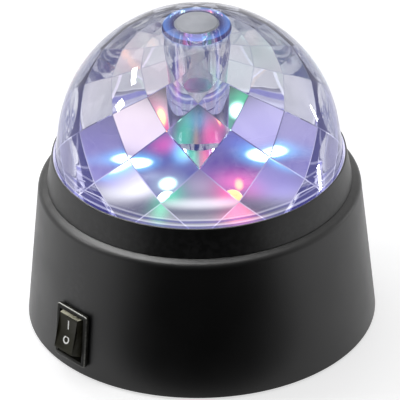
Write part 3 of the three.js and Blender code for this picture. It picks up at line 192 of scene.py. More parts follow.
def fromAxis(tree):
    # How far a place is from the upright axis
    flat = vectorCalc("MULTIPLY", objectPlace(tree), (1, 1, 0))
    return vectorCalc("LENGTH", flat)


def noise(tree, size, detail, roughness=0.5):
    inputs = {
        "Vector": objectPlace(tree), "Scale": calc("DIVIDE", 1 / mm, size),
        "Detail": detail, "Roughness": roughness,
    }
    return addNode(tree, "TexNoise", inputs).outputs["Fac"]


# Effects that several materials share, each a group with one output

effects = {
    "grainHeight": 0.1, "patchEdges": (0.3, 0.7), "wearEdge": (0.51, 0.56),
    "wearBreaks": (0.42, 0.62), "upwardFacing": (0.5, 0.95), "upwardBreaks": (0.35, 0.75),
    "upwardDetail": 8, "upwardRoughness": 0.7, "upwardRougher": 0.4,
}


def makeGroup(name, build, inputs, kind="Float"):
    # An input without a starting value is a vector; the output is what build returns
    tree = bpy.data.node_groups.new(name, "ShaderNodeTree")
    for label, value in inputs.items():
        socketKind = "NodeSocketVector" if value is None else "NodeSocketFloat"
        socket = tree.interface.new_socket(label, in_out="INPUT", socket_type=socketKind)
        if value is not None:
            socket.default_value = value
    tree.interface.new_socket("Result", in_out="OUTPUT", socket_type="NodeSocket" + kind)
    result = build(tree, tree.nodes.new("NodeGroupInput").outputs)
    setInput(tree.nodes.new("NodeGroupOutput"), "Result", result)


def placeGroup(tree, group, **values):
    return addNode(tree, "Group", values, node_tree=bpy.data.node_groups[group]).outputs[0]


def mouldGrain(tree, given):
    # Fine spark-eroded grain of a moulded part
    inputs = {"Distance": effects["grainHeight"] * mm, "Strength": given["Depth"]}
    inputs["Height"] = noise(tree, given["Size"], 3)
    return addNode(tree, "Bump", inputs).outputs["Normal"]


def softPatches(tree, given):
    # Broad uneven patches, for colour and roughness that drift over a surface
    drift = noise(tree, given["Size"], 4)
    return ramp(drift, *effects["patchEdges"], given["Low"], given["High"])


def edgeWear(tree, given):
    # Raised edges rubbed a little, broken up by noise
    raised = ramp(addNode(tree, "NewGeometry").outputs["Pointiness"], *effects["wearEdge"])
    broken = ramp(noise(tree, given["Size"], 5), *effects["wearBreaks"])
    return times(raised, broken, given["Amount"])


def settledDustAndSheen(tree, given):
    # A thin film of dust that settles on faces that look up; laid on thick and light on the switch,
    # it is a painted highlight
    facing = axes(tree, addNode(tree, "NewGeometry").outputs["Normal"])["Z"]
    patch = noise(tree, given["Size"], effects["upwardDetail"], effects["upwardRoughness"])
    patch = ramp(patch, *effects["upwardBreaks"])
    return times(ramp(facing, *effects["upwardFacing"]), patch, given["Amount"])


def lightSpot(tree, given):
    # One soft oval spot of painted light, by place alone
    away = vectorCalc("SUBTRACT", objectPlace(tree), given["Centre"])
    length = vectorCalc("LENGTH", vectorCalc("DIVIDE", away, given["Size"]))
    return calc("EXPONENT", times(calc("POWER", length, given["Edge"]), -1.0))


tones = {
    "white": (1, 1, 1), "ice": (0.72, 0.97, 1), "cyan": (0.05, 0.6, 1),
    "azure": (0.02, 0.2, 0.85), "violet": (0.27, 0.2, 0.95), "lilac": (0.6, 0.55, 0.95),
    "green": (0, 0.6, 0.26), "mint": (0.6, 1, 0.85), "pink": (1, 0.06, 0.28),
    "rose": (1, 0.84, 0.9), "amber": (1, 0.42, 0.03),
}

# Painted light that the lamps and the facets throw on the reflector, by tone: [x, y] and half
# widths in millimetres, strength, steepness of the edge; where the facets throw less it is
# negative, a painted shade
thrownLight = {
    "ice": [
        (18.4, 1.6, 3, 2, 5, 6), (38.5, 9.8, 1.5, 1.6, 5, 6), (24.6, 20.5, 1.8, 2, 4, 5),
        (29.3, -8.3, 2, 1.8, 4, 5), (-17.8, -0.2, 2.5, 1.6, 5, 6), (-38.7, 8.3, 1.8, 1.6, 5, 6),
        (-24.4, 19, 1.6, 1.6, 3, 5), (-28.6, -9.4, 2.4, 2, 4, 5), (-9.6, 1.5, 1.3, 2.2, 0.5, 2),
        (-15.4, -5, 1.6, 1.6, 0.25, 2),
    ],
    "cyan": [
        (18.6, 1.6, 4.4, 3.4, 1.2, 3), (38.3, 9.8, 2.2, 2.8, 1.2, 3), (24.4, 20.5, 2.6, 3, 0.8, 3),
        (29, -8, 3.8, 3.4, 1.2, 3), (-17.8, -0.2, 3.6, 2.8, 1.2, 3), (-38.6, 8.3, 2.5, 2.7, 1.2, 3),
        (-28.5, -9.5, 4.4, 3.6, 1.2, 3), (-10.2, 3, 1.6, 3.5, 1.6, 2), (0, 41, 8, 4, 0.6, 2),
    ],
    "mint": [
        (-12.2, -8.6, 1.5, 2.4, 4, 4), (-12, -9, 3.4, 4, 0.5, 2), (12.8, 40, 1.6, 2.2, 4, 4),
    ],
    "green": [
        (-8.5, -23, 4, 5, 1.5, 2), (-19, -25, 2, 4, 0.8, 2), (-14.5, -36, 2.6, 5, 1.3, 2),
        (-17, -31, 3, 4, 0.8, 2), (7, 33, 4.5, 9, 1.25, 2.5), (14, 42, 3, 5, 1, 2),
    ],
    "amber": [
        (1.2, 33, 1.2, 8, 0.45, 2), (13.6, -9.4, 0.8, 2.4, 2.2, 4), (-12.4, 38.5, 1, 3, 4, 4),
    ],
    "pink": [
        (13.5, -8.5, 4.5, 4.5, 1, 2), (8.5, -23, 4.5, 6, 1.4, 2), (21, -19, 3.5, 6, 0.7, 2),
        (13, -38, 6, 5, 1.5, 2), (-6, 33, 4.5, 8, 1.35, 2.5), (-13, 37, 2.5, 5, 1.3, 2),
        (-13.2, 4.5, 2, 2.4, 0.7, 2),
    ],
    "rose": [
        (-22, 30, 7, 10, 1.05, 4), (-12, 42, 3, 4, 0.5, 2), (0, -21, 4.5, 4, 0.35, 2),
    ],
    "lilac": [
        (22, 30, 8, 9, 0.85, 4), (-24, -14, 5, 4, 0.6, 2), (37, 17, 5, 7, 0.45, 3),
        (30, -23, 7, 6, 0.45, 2),
    ],
    "white": [
        (1, -28.5, 12, 3.2, 1, 2.5), (-27, -20, 8, 5.5, 0.9, 2), (-22.5, -19.5, 4, 4, 0.5, 2),
        (0, -40, 34, 6, 0.36, 3), (-12.5, 2, 4.5, 5, -0.11, 3), (12, -2, 4, 4, -0.07, 3),
        (-9.5, -5, 2.5, 4, -0.09, 3),
    ],
    "azure": [(14.5, 4.8, 3, 2.6, 0.35, 2)],
    "violet": [
        (0, 5, 50, 28, 0.44, 3), (-36, 6, 7, 14, 0.25, 3), (38, 3, 7, 9, 0.2, 3),
        (27, -17, 9, 8, 0.35, 3), (-28, -13, 7, 4, 0.3, 3),
    ],
}

# Painted glints of the lamps in the tube wall: [x, y, z] and half sizes, tone, strength
glints = [
    (-11.3, 0, 100, 1.2, 5, 4.5, "pink", 0.35), (-7.6, -8, 99, 1.0, 3, 5, "pink", 0.3),
    (11.0, 0, 99, 1.6, 5, 4, "green", 0.4), (7.6, -8, 100, 0.9, 3, 5, "green", 0.3),
    (-7.2, -8.6, 104, 0.7, 3, 12, "violet", 0.3), (7.2, -8.6, 104, 0.7, 3, 12, "violet", 0.3),
]


def addSpot(tree, total, centre, size, tone, strength, edge=2.0):
    centre, size = Vector(centre) * mm, Vector(size) * mm
    spot = placeGroup(tree, "spot", Centre=centre, Size=size, Edge=edge)
    light = [part * strength for part in tones[tone]]
    return vectorCalc("MULTIPLY_ADD", light, spot, total)


def allThrownLight(tree, given):
    total, tall = black, 1000
    for tone, spots in thrownLight.items():
        for x, y, wide, deep, *light in spots:
            centre, size = (x, y, plateTop), (wide, deep, tall)
            total = addSpot(tree, total, centre, size, tone, *light)
    return total


makeGroup("grain", mouldGrain, {"Size": 0.3, "Depth": 0.2}, "Vector")
makeGroup("cloud", softPatches, {"Size": 20.0, "Low": 0.0, "High": 1.0})
makeGroup("wear", edgeWear, {"Amount": 0.5, "Size": 2.0})
makeGroup("dustAndSheen", settledDustAndSheen, {"Amount": 0.1, "Size": 6.0})
makeGroup("spot", lightSpot, {"Centre": None, "Size": None, "Edge": 2.0})
makeGroup("thrown", allThrownLight, {}, "Color")


# Materials: two tones that drift into each other over patches, a range of roughness,
# [size, depth] of the grain, [amount, tone] of worn edges and of dust; on the switch the dust
# is partly a painted highlight
leadSkin = {"patch": 5, "rough": (0.4, 0.5), "grain": (0.3, 0.2), "dustAndSheen": (0.1, (0.3, 0.28, 0.25))}
metalSkin = {"patch": 5, "grain": (0.15, 0.15), "fixed": {"Metallic": 1}}
finishes = {
    "satinBlack": {
        "color": (0.0032, 0.0032, 0.0034), "drift": (0.0045, 0.0045, 0.0048), "patch": 30,
        "rough": (0.36, 0.44), "grain": (0.35, 0.35), "wear": (0.25, (0.03, 0.03, 0.032)),
        "dustAndSheen": (0.05, (0.2, 0.19, 0.17)),
    },
    # Its dust is partly a painted highlight on faces that look up
    "switchBlack": {
        "color": (0.007, 0.007, 0.006), "drift": (0.01, 0.01, 0.008), "patch": 8,
        "rough": (0.3, 0.4), "grain": (0.2, 0.12), "wear": (0.3, (0.05, 0.05, 0.045)),
        "dustAndSheen": (0.15, (0.3, 0.3, 0.24)), "fixed": {"Specular IOR Level": 0.14},
    },
    # Thick light dust on the rocker's faces that look up is a painted highlight
    "rockerBlack": {
        "color": (0.018, 0.017, 0.01), "drift": (0.026, 0.025, 0.015), "patch": 6,
        "rough": (0.3, 0.4), "grain": (0.2, 0.12), "wear": (0.3, (0.05, 0.05, 0.045)),
        "dustAndSheen": (2.4, (0.62, 0.6, 0.46)), "fixed": {"Specular IOR Level": 0.12},
    },
    # The flange's rounded rim, painted lighter with thick near-white dust on top as a highlight
    "switchRimHighlight": {
        "color": (0.03, 0.03, 0.027), "drift": (0.07, 0.07, 0.06), "patch": 2.5,
        "rough": (0.2, 0.3), "grain": (0.3, 0.2), "wear": (0.3, (0.3, 0.3, 0.26)),
        "dustAndSheen": (4.0, (1.0, 1.0, 0.95)),
    },
    "greyPlastic": {
        "color": (0.42, 0.43, 0.45), "drift": (0.36, 0.37, 0.39), "patch": 15, "rough": (0.4, 0.5),
        "grain": (0.3, 0.3), "wear": (0.2, (0.6, 0.6, 0.62)), "dustAndSheen": (0.1, (0.4, 0.38, 0.35)),
    },
    "whiteNylon": {
        "color": (0.74, 0.71, 0.62), "drift": (0.68, 0.64, 0.54), "patch": 6, "rough": (0.35, 0.45),
        "grain": (0.25, 0.2), "wear": (0.3, (0.8, 0.79, 0.74)), "dustAndSheen": (0.05, (0.4, 0.38, 0.33)),
    },
    "rubber": {
        "color": (0.014, 0.014, 0.015), "drift": (0.02, 0.02, 0.021), "patch": 4,
        "rough": (0.75, 0.9), "grain": (0.5, 0.5), "wear": (0.4, (0.05, 0.05, 0.05)),
        "dustAndSheen": (0.2, (0.2, 0.18, 0.16)),
    },
    "boardGreen": {
        "color": (0.012, 0.09, 0.035), "drift": (0.02, 0.13, 0.05), "patch": 3,
        "rough": (0.3, 0.45), "grain": (0.6, 0.2), "wear": (0.5, (0.45, 0.3, 0.1)),
        "dustAndSheen": (0.1, (0.3, 0.28, 0.25)),
    },
    "redLead": {
        **leadSkin, "color": (0.4, 0.012, 0.01), "drift": (0.32, 0.01, 0.01),
        "wear": (0.1, (0.5, 0.1, 0.1)),
    },
    "blackLead": {
        **leadSkin, "color": (0.01, 0.01, 0.01), "drift": (0.015, 0.015, 0.015),
        "wear": (0.1, (0.06, 0.06, 0.06)),
    },
    "steel": {
        **metalSkin, "color": (0.6, 0.61, 0.62), "drift": (0.42, 0.42, 0.42), "rough": (0.25, 0.42),
    },
    "bronze": {
        **metalSkin, "color": (0.5, 0.3, 0.13), "drift": (0.3, 0.17, 0.07), "rough": (0.35, 0.5),
    },
    "brass": {
        **metalSkin, "color": (0.72, 0.52, 0.2), "drift": (0.5, 0.33, 0.1), "rough": (0.25, 0.4),
    },
    # Darker steel for the shaft, which takes painted lamp light below
    "litSteel": {
        "color": (0.45, 0.46, 0.47), "drift": (0.3, 0.3, 0.3), "patch": 5, "rough": (0.25, 0.42),
        "fixed": {"Metallic": 1},
    },
    "frostedPlastic": {
        "color": (0.46, 0.48, 0.54), "drift": (0.62, 0.64, 0.7), "patch": 9, "rough": (0.3, 0.4),
        "grain": (0.4, 0.2), "fixed": {"Transmission Weight": 0.25},
    },
    "silverPlastic": {
        "color": (0.15, 0.15, 0.16), "drift": (0.2, 0.2, 0.21), "patch": 14, "rough": (0.25, 0.35),
        "grain": (0.5, 0.05), "fixed": {"Metallic": 0.1},
    },
    "cellJacket": {
        "color": (0.025, 0.035, 0.07), "drift": (0.1, 0.1, 0.12), "patch": 10, "most": 0.3,
        "bare": ((0.5, 0.5, 0.52), 16, 16.2), "grain": (0.8, 0.08),
        "fixed": {"Metallic": 0.4, "Roughness": 0.3},
    },
    "markPaint": {
        "color": (0.88, 0.88, 0.85), "drift": (0.97, 0.97, 0.95), "patch": 0.6,
        "grain": (0.15, 0.3), "fixed": {"Roughness": 0.5},
    },
}
# The collar's satin black, which takes painted lamp light below
finishes["litBlack"] = finishes["satinBlack"]


def startMaterial(name):
    material = bpy.data.materials.new(name)
    material.use_nodes = True
    tree = material.node_tree
    return material, tree, tree.nodes["Principled BSDF"]


def makeFinish(name):
    look = finishes[name]
    material, tree, shader = startMaterial(name)
    setInputs(shader, look.get("fixed", {}))
    patch = placeGroup(tree, "cloud", Size=look["patch"], High=look.get("most", 1.0))
    color = look["color"]
    if "bare" in look:  # the metal ends of a cell
        tone, start, full = look["bare"]
        ends = mask((calc("ABSOLUTE", axes(tree)["X"]), start, full))
        color = blendColor(ends, color, tone)
    color = blendColor(patch, color, look["drift"])
    if "rough" in look:
        rough = ramp(patch, 0, 1, *look["rough"], "LINEAR")
        setInput(shader, "Roughness", rough)
    # Worn edges, then dust on faces that look up, which on the switch is partly a painted highlight
    for layer in ("wear", "dustAndSheen"):
        if layer in look:
            amount, tone = look[layer]
            cover = placeGroup(tree, layer, Amount=amount)
            color = blendColor(cover, color, tone)
            if layer == "dustAndSheen":
                rougher = times(cover, effects["upwardRougher"])
                setInput(shader, "Roughness", calc("ADD", rough, rougher))
    setInput(shader, "Base Color", color)
    if "grain" in look:
        size, depth = look["grain"]
        setInput(shader, "Normal", placeGroup(tree, "grain", Size=size, Depth=depth))
    return material


dome = {
    "segments": 192, "arcSteps": 44, "perRow": 11, "rows": 8,
    "firstLatitude": 4.5, "secondLatitude": 20.5, "wall": 2.8, "edge": 0.22,
    "footRound": 0.3, "bandHeight": 3.6, "bandTaper": 0.1, "skirtRise": 6.5,
    "tubeTop": 12.3, "tubeFoot": 10.0, "tubeFootHeight": 65.3, "roofDepth": 3.6,
    "tubeSegments": 96, "capRadius": 8.3, "capGap": 0.2, "capDepth": 2.9, "capSlope": 0.8,
    "well": 5.0, "wellFoot": 4.6, "wellDepth": 22.8, "wellSegments": 64,
    "socket": 3.05, "socketDepth": 9, "socketSegments": 32,
}
# Clear moulding: its own tint, painted shade edge-on, and painted lamp light in it, at the rim,
# ring and edges
domeLook = {
    "color": (0.78, 0.785, 0.8), "ior": 1.5, "rough": (0.0, 0.02), "patch": 12,
    "sideGrazingShade": (0.36, 0.38, 0.5), "sideFacing": (0.42, 0.78),
    "ringPaintedGlow": (0.05, 0.16, 0.44), "ringRadius": (9.0, 12.6), "ringFade": 0.8,
    "ringHeight": (115.5, 118),
    "rimPaintedTint": (0.22, 0.22, 0.62), "rimHeights": (67.2, 67.6), "rimFade": (1, 0.6),
    "rimLight": (0.5, 0.5, 0.62), "rimShare": 0.5, "rimLineFade": (0.7, 0.2),
    "edgeShade": (0.5, 0.51, 0.58), "edgeGrazingShade": (0.03, 0.04, 0.1), "grazingShadeFacing": (0.45, 0.8),
    "edgeLight": (0.42, 0.41, 0.52), "edgeDark": (0.02, 0.02, 0.04),
    "edgeLightHeights": (92, 78), "paintedGlow": (0.15, 0.14, 0.85),
    "paintedGlowHeights": (66, 112), "paintedGlowLevels": (0.045, 0.008),
    "mattRadius": (5.4, 4.9), "mattDepth": (1, 0.5), "matt": 0.45,
}


def makeClearPlastic(name, onEdge):
    # Clear moulding with painted lamp light: a faint glow, most of all low down and in the ring at
    # the top of the tube, a line of light and a blue tint at the rim, and glints; seen edge-on it
    # is painted darker; the eased facet edges have a painted tint, darker edge-on, and painted
    # light low down
    look = domeLook
    material, tree, shader = startMaterial(name)
    height, away = axes(tree)["Z"], fromAxis(tree)
    steep = addNode(tree, "LayerWeight").outputs["Facing"]
    if onEdge:
        shade = blendColor(ramp(steep, *look["grazingShadeFacing"]), look["edgeShade"], look["edgeGrazingShade"])
        low = mask((height, *look["edgeLightHeights"]))
        light = blendColor(low, look["edgeDark"], look["edgeLight"])
    else:
        shade = blendColor(ramp(steep, *look["sideFacing"]), look["color"], look["sideGrazingShade"])
        lowest, highest = [level * mm for level in look["paintedGlowHeights"]]
        level = ramp(height, lowest, highest, *look["paintedGlowLevels"])
        light = blendColor(level, black, look["paintedGlow"])
    (under, over), (start, full) = look["rimHeights"], look["rimFade"]
    rim = mask((height, over, under), (height, under - start, under - full))
    start, full = look["rimLineFade"]
    line = mask((height, under, over), (height, over + start, over + full))
    light = blendColor(times(line, look["rimShare"]), light, look["rimLight"])
    (inner, outer), fade = look["ringRadius"], look["ringFade"]
    ring = mask(
        (away, outer, outer - fade), (away, inner - fade, outer), (height, *look["ringHeight"]),
    )
    light = blendColor(ring, light, look["ringPaintedGlow"])
    for glint in glints:
        light = addSpot(tree, light, glint[:3], glint[3:6], *glint[6:])
    wellFloor = domeTop - dome["capDepth"] - dome["wellDepth"]
    start, full = look["mattDepth"]
    matt = mask(
        (away, *look["mattRadius"]), (height, wellFloor - start, wellFloor - full),
        (height, wellFloor + start, wellFloor + full),
    )
    patch = placeGroup(tree, "cloud", Size=look["patch"])
    rough = ramp(patch, 0, 1, *look["rough"], "LINEAR")
    setInputs(shader, {
        "Transmission Weight": 1, "IOR": look["ior"],
        "Base Color": blendColor(rim, shade, look["rimPaintedTint"]),
        "Roughness": calc("ADD", rough, times(matt, look["matt"])),
        "Emission Color": light, "Emission Strength": 1,
    })
    return material


# The lamps stand on a circle, two of each colour: kind and turn in degrees
lamps = {
    "led_blue_right": ("blue", 0), "led_green_back": ("green", 60), "led_red_back": ("red", 120),
    "led_blue_left": ("blue", 180), "led_green_front": ("green", 240),
    "led_red_front": ("red", 300),
}
lampCircle = 24
lampColors = {
    "blue": {"lens": (0.1, 0.22, 1), "low": (0.16, 0.62, 1), "top": (1, 1, 1), "light": 7},
    "green": {
        "lens": (0.05, 0.8, 0.35), "low": (0.1, 0.9, 0.5), "top": (0.75, 1, 0.85), "light": 3,
    },
    "red": {"lens": (1, 0.12, 0.2), "low": (1, 0.12, 0.12), "top": (1, 0.62, 0.2), "light": 2.2},
}
lampFade = (1.5, 5.5)  # heights above the board


def makeLampLens(kind):
    # A lit lens: nearly white at its top, in its own colour lower down
    colors = lampColors[kind]
    material, tree, shader = startMaterial(kind + "Lamp")
    start, full = lampFade
    height = mask((axes(tree)["Z"], boardTop + start, boardTop + full))
    patch = placeGroup(tree, "cloud", Size=1.5, Low=0.8, High=1.0)
    glow = blendColor(height, colors["low"], colors["top"])
    setInputs(shader, {
        "Base Color": colors["lens"], "Roughness": 0.12,
        "Emission Color": blendColor(patch, colors["lens"], glow),
        "Emission Strength": colors["light"],
    })
    return material


# Painted lamp light on the collar's inner wall and on both sides of the shaft
thrown = {
    "collar": (0.72, 0.71, 0.9), "collarGap": 0.52, "collarFade": 0.12,
    "shaftLeft": (0.0, 0.9, 0.5), "shaftRight": (1.4, 0.2, 0.6), "shaftHalf": 1.5,
    "shaftHeights": (62, 64),
}


def collarLight(tree):
    edge = skirtRadius + thrown["collarGap"]
    inside = mask((fromAxis(tree), edge, edge - thrown["collarFade"]))
    return blendColor(inside, black, thrown["collar"])


def shaftLight(tree):
    spot, half = axes(tree), thrown["shaftHalf"]
    side = mask((spot["X"], -half, half))
    glow = blendColor(side, thrown["shaftLeft"], thrown["shaftRight"])
    return blendColor(mask((spot["Z"], *thrown["shaftHeights"])), black, glow)


# Paints lamp light into a finish as its emission
def throwLight(name, makeLight, strength):
    tree = materials[name].node_tree
    light = {"Emission Color": makeLight(tree), "Emission Strength": strength}
    setInputs(tree.nodes["Principled BSDF"], light)


materials = {name: makeFinish(name) for name in finishes}
materials.update({kind + "Lamp": makeLampLens(kind) for kind in lampColors})
materials["clearPlastic"] = makeClearPlastic("clearPlastic", False)
materials["clearEdge"] = makeClearPlastic("clearEdge", True)
# The collar, the reflector and the shaft take painted lamp light
throwLight("litBlack", collarLight, 1)
throwLight("silverPlastic", lambda tree: placeGroup(tree, "thrown"), 1)
throwLight("litSteel", shaftLight, 0.8)
print("materials made:", len(materials))


# Mesh helpers


def fromBmesh(name, bm, *materialNames):
    bmesh.ops.recalc_face_normals(bm, faces=bm.faces)
    mesh = bpy.data.meshes.new(name)
    bm.to_mesh(mesh)
    bm.free()
    for materialName in materialNames:
        mesh.materials.append(materials[materialName])
    return addObject(name, mesh)


def smooth(piece, sharp=35):
    mesh = piece.data
    mesh.polygons.foreach_set("use_smooth", [True] * len(mesh.polygons))
    mesh.set_sharp_from_angle(angle=radians(sharp))
    return piece


def move(piece, x=0, y=0, z=0):
    piece.data.transform(Matrix.Translation(Vector((x, y, z)) * mm))
    return piece


def bridge(bm, ring, following):
    # Faces between two rings of corners; a ring of one corner is a tip
    count = max(len(ring), len(following))
    for step in range(count if count > 1 else 0):
        after = (step + 1) % count
        corners = [ring[step % len(ring)], ring[after % len(ring)]]
        corners += [following[after % len(following)], following[step % len(following)]]
        bm.faces.new(list(dict.fromkeys(corners)))


def turned(outline, segments, *materialNames, name="cutter"):
    # A solid of revolution about Z from [radius, height] points that close on themselves
    bm = bmesh.new()
    rings = []
    for radius, height in outline:
        ring = []
        for index in range(segments if radius else 1):
            turn = 2 * pi * index / segments
            spot = (radius * cos(turn) * mm, radius * sin(turn) * mm, height * mm)
            ring.append(bm.verts.new(spot))
        rings.append(ring)
    for index, ring in enumerate(rings):
        bridge(bm, ring, rings[(index + 1) % len(rings)])
    return fromBmesh(name, bm, *materialNames)


def rod(radius, low, high, segments, materialName, highRadius=None):
    # A bar about Z, or a cone where its high end has a radius of its own
    outline = [(0, low), (radius, low), (highRadius or radius, high), (0, high)]
    return turned(outline, segments, materialName)


def lofted(name, rings, *materialNames, split=False):
    # A body through rings of as many [x, y, z], closed by a face at both ends
    bm = bmesh.new()
    rings = [[bm.verts.new((x * mm, y * mm, z * mm)) for x, y, z in ring] for ring in rings]
    for ring, following in zip(rings, rings[1:]):
        bridge(bm, ring, following)
    ends = [bm.faces.new(ring) for ring in (rings[0], rings[-1])]
    if split:
        bmesh.ops.triangulate(bm, faces=ends)
    return fromBmesh(name, bm, *materialNames)


def block(low, high, materialName, name="cutter"):
    bm = bmesh.new()
    bmesh.ops.create_cube(bm, size=1)
    centre = (Vector(low) + Vector(high)) / 2 * mm
    size = (Vector(high) - Vector(low)) * mm
    for vert in bm.verts:
        vert.co = Vector(a * b for a, b in zip(vert.co, size)) + centre
    return fromBmesh(name, bm, materialName)


def settle(piece):
    # Applies the piece's modifiers to its mesh
    graph = bpy.context.evaluated_depsgraph_get()
    made = bpy.data.meshes.new_from_object(piece.evaluated_get(graph))
    piece.modifiers.clear()
    piece.data = made
    return piece


def carve(piece, cutters, operation="DIFFERENCE"):
    for cutter in cutters:
        settings = {"object": cutter, "operation": operation, "solver": "EXACT"}
        adjust(piece.modifiers.new("cut", "BOOLEAN"), settings)
    settle(piece)
    for cutter in cutters:
        bpy.data.objects.remove(cutter)
    return piece


def soften(piece, width, segments=2, sharp=40):
    adjust(piece.modifiers.new("soft edge", "BEVEL"), {
        "width": width * mm, "segments": segments, "limit_method": "ANGLE",
        "angle_limit": radians(sharp), "use_clamp_overlap": True,
    })
    return settle(piece)


def arc(centre, radius, start, end, steps):
    # Points on an arc in the profile plane, in degrees
    turns = [radians(start + (end - start) * index / steps) for index in range(steps + 1)]
    return [(centre[0] + radius * cos(turn), centre[1] + radius * sin(turn)) for turn in turns]


def roundedCorner(before, corner, after, radius, steps):
    # Replaces a corner of a profile by a curve that leaves both sides smoothly
    corner = Vector(corner)
    first, last = [corner + (Vector(end) - corner).normalized() * radius for end in (before, after)]
    made = []
    for index in range(steps + 1):
        t = index / steps
        made.append(tuple(first * (1 - t) ** 2 + corner * 2 * t * (1 - t) + last * t ** 2))
    return made


def place(piece, body, slotName, *nodes):
    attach(piece, body)
    if nodes:
        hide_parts(*nodes)
    return piece


# Base shell

shell = {
    "segments": 160, "wall": 2.2, "opening": 44, "shoulderRound": 1.6, "footRound": 0.5,
    "roundSteps": 10, "windowGap": 0.3, "windowDepth": 6,
}


def shellRadiusAt(height):
    run = (height - shellBottom) / (shoulderHeight - shellBottom)
    return shellRadius + (shoulderRadius - shellRadius) * run


def switchPlace():
    taper = atan2(shellRadius - shoulderRadius, shoulderHeight - shellBottom)
    spot = Vector((0, -shellRadiusAt(rocker["height"]), rocker["height"])) * mm
    turn = Matrix.Rotation(radians(rocker["azimuth"]), 4, "Z")
    return turn @ Matrix.Translation(spot) @ Matrix.Rotation(-taper, 4, "X")


def makeShell():
    wall, opening, gap, steps = take(shell, "wall opening windowGap roundSteps")
    under = shellTop - wall
    inner, low = (shellRadius - wall, shellBottom), (shellRadius, shellBottom)
    shoulder, rim = (shoulderRadius, shoulderHeight), (collarFoot, shellTop)
    outline = [inner, *roundedCorner(inner, low, shoulder, shell["footRound"], steps)]
    outline += roundedCorner(low, shoulder, rim, shell["shoulderRound"], steps)
    outline += [rim, (opening, shellTop), (opening, under), (shellRadiusAt(under) - wall, under)]
    piece = turned(outline, shell["segments"], "satinBlack", name="baseShell")
    x, z = rocker["bodyWidth"] / 2 + gap, rocker["bodyHeight"] / 2 + gap
    half = Vector((x, shell["windowDepth"], z))
    window = block(-half, half, "satinBlack")
    window.data.transform(switchPlace())
    smooth(carve(piece, [window]), sharp=12)
    return place(piece, "base", "black_plastic", "base_shell")


# Collar

collar = {
    "segments": 160, "inner": 0.35, "seat": 5.8, "seatWidth": 2.7, "flare": 2.0,
    "footRound": 0.25, "lipRound": 0.5, "lipSteps": 5, "lipDrop": 0.15,
}


def makeCollar():
    inner, small = skirtRadius + collar["inner"], collar["footRound"]
    seatInner, seat = inner - collar["seatWidth"], shellTop + collar["seat"]
    outline = [(seatInner, shellTop), (collarFoot - small, shellTop)]
    outline.append((collarFoot, shellTop + small))
    lip = (collarFoot, shellTop), (collarFoot - collar["flare"], collarTop), (inner, collarTop)
    outline += roundedCorner(*lip, collar["lipRound"], collar["lipSteps"])
    outline += [(inner, collarTop - collar["lipDrop"]), (inner, seat), (seatInner, seat)]
    piece = turned(outline, collar["segments"], "litBlack", name="topCollar")
    return place(smooth(piece, sharp=25), "base", "black_plastic", "top_collar")


# Dome


def facetLatitudes():
    # A facet is flat, so its lower corner, the middle of its sides and its top are in line
    halfPitch = pi / dome["perRow"]

    def upper(low, side):
        start = Vector((cos(low), sin(low)))
        middle = Vector((cos(side) * cos(halfPitch), sin(side)))
        along = (middle - start).normalized()
        corner = start - 2 * start.dot(along) * along
        return atan2(corner.y, corner.x)

    rows = [radians(dome["firstLatitude"]), radians(dome["secondLatitude"])]
    lowest = upper(rows[1], rows[0])
    while len(rows) < dome["rows"]:
        rows.append(upper(rows[-2], rows[-1]))
    return [lowest] + rows


def makeFacets():
    # The hollow: a closed body of flat diamonds, with its edges a little eased
    count, radius = dome["perRow"], domeRadius - dome["wall"]
    bm = bmesh.new()
    rows = []
    for row, latitude in enumerate(facetLatitudes()):
        ring = []
        flat, height = radius * cos(latitude), domeCentre + radius * sin(latitude)
        for index in range(count):
            turn = -pi / 2 + (index + (row % 2) / 2) * 2 * pi / count
            ring.append(bm.verts.new(Vector((flat * cos(turn), flat * sin(turn), height)) * mm))
        rows.append(ring)
    bm.faces.new(rows[0])
    bm.faces.new(rows[-1])
    for row, ring in enumerate(rows):
        for index in range(count):
            tip = (index + row % 2) % count
            corners = [ring[index], ring[(index + 1) % count]]
            if row < len(rows) - 1:
                corners.insert(1, rows[row + 1][tip])
            if row > 0:
                corners.append(rows[row - 1][tip])
            bm.faces.new(corners)
    bmesh.ops.recalc_face_normals(bm, faces=bm.faces)
    bmesh.ops.bevel(
        bm, geom=list(bm.edges), offset=dome["edge"] * mm, segments=1, affect="EDGES",
        profile=0.5, material=1,
    )
    return fromBmesh("hollow", bm, "clearPlastic", "clearEdge")


def makeDome():
    low, seat, small = dome["tubeFootHeight"], domeTop - dome["capDepth"], dome["footRound"]
    start = degrees(asin(dome["skirtRise"] / domeRadius))
    outline = [(0, domeBottom), (skirtRadius - small, domeBottom)]
    outline.append((skirtRadius, domeBottom + small))
    outline.append((skirtRadius - dome["bandTaper"], domeBottom + dome["bandHeight"]))
    outline += arc((0, domeCentre), domeRadius, start, 90, dome["arcSteps"])
    outline[-1] = (0, domeTop)
    piece = turned(outline, dome["segments"], "clearPlastic", "clearEdge", name="crystalDome")
    carve(piece, [makeFacets()])
    segments, roof = dome["tubeSegments"], domeTop - dome["roofDepth"]
    tube = rod(dome["tubeFoot"], low, roof, segments, "clearPlastic", dome["tubeTop"])
    carve(piece, [tube], "UNION")
    radius, foot, top = dome["capRadius"] + dome["capGap"], dome["wellFoot"], dome["well"]
    floor, high = seat - dome["wellDepth"], low + dome["socketDepth"]
    carve(piece, [
        rod(radius, seat, domeTop + 1, segments, "clearPlastic"),
        rod(foot, floor, seat + 1, dome["wellSegments"], "clearPlastic", top),
        rod(dome["socket"], low - 1, high, dome["socketSegments"], "clearPlastic"),
    ])
    smooth(piece, sharp=9)
    piece.visible_shadow = False
    piece.visible_diffuse = False
    return place(piece, "dome", "clear_plastic", "crystal_dome")


cap = {"segments": 96, "footRound": 0.2, "lipRound": 0.1, "lipFall": 0.8, "arcSteps": 10}


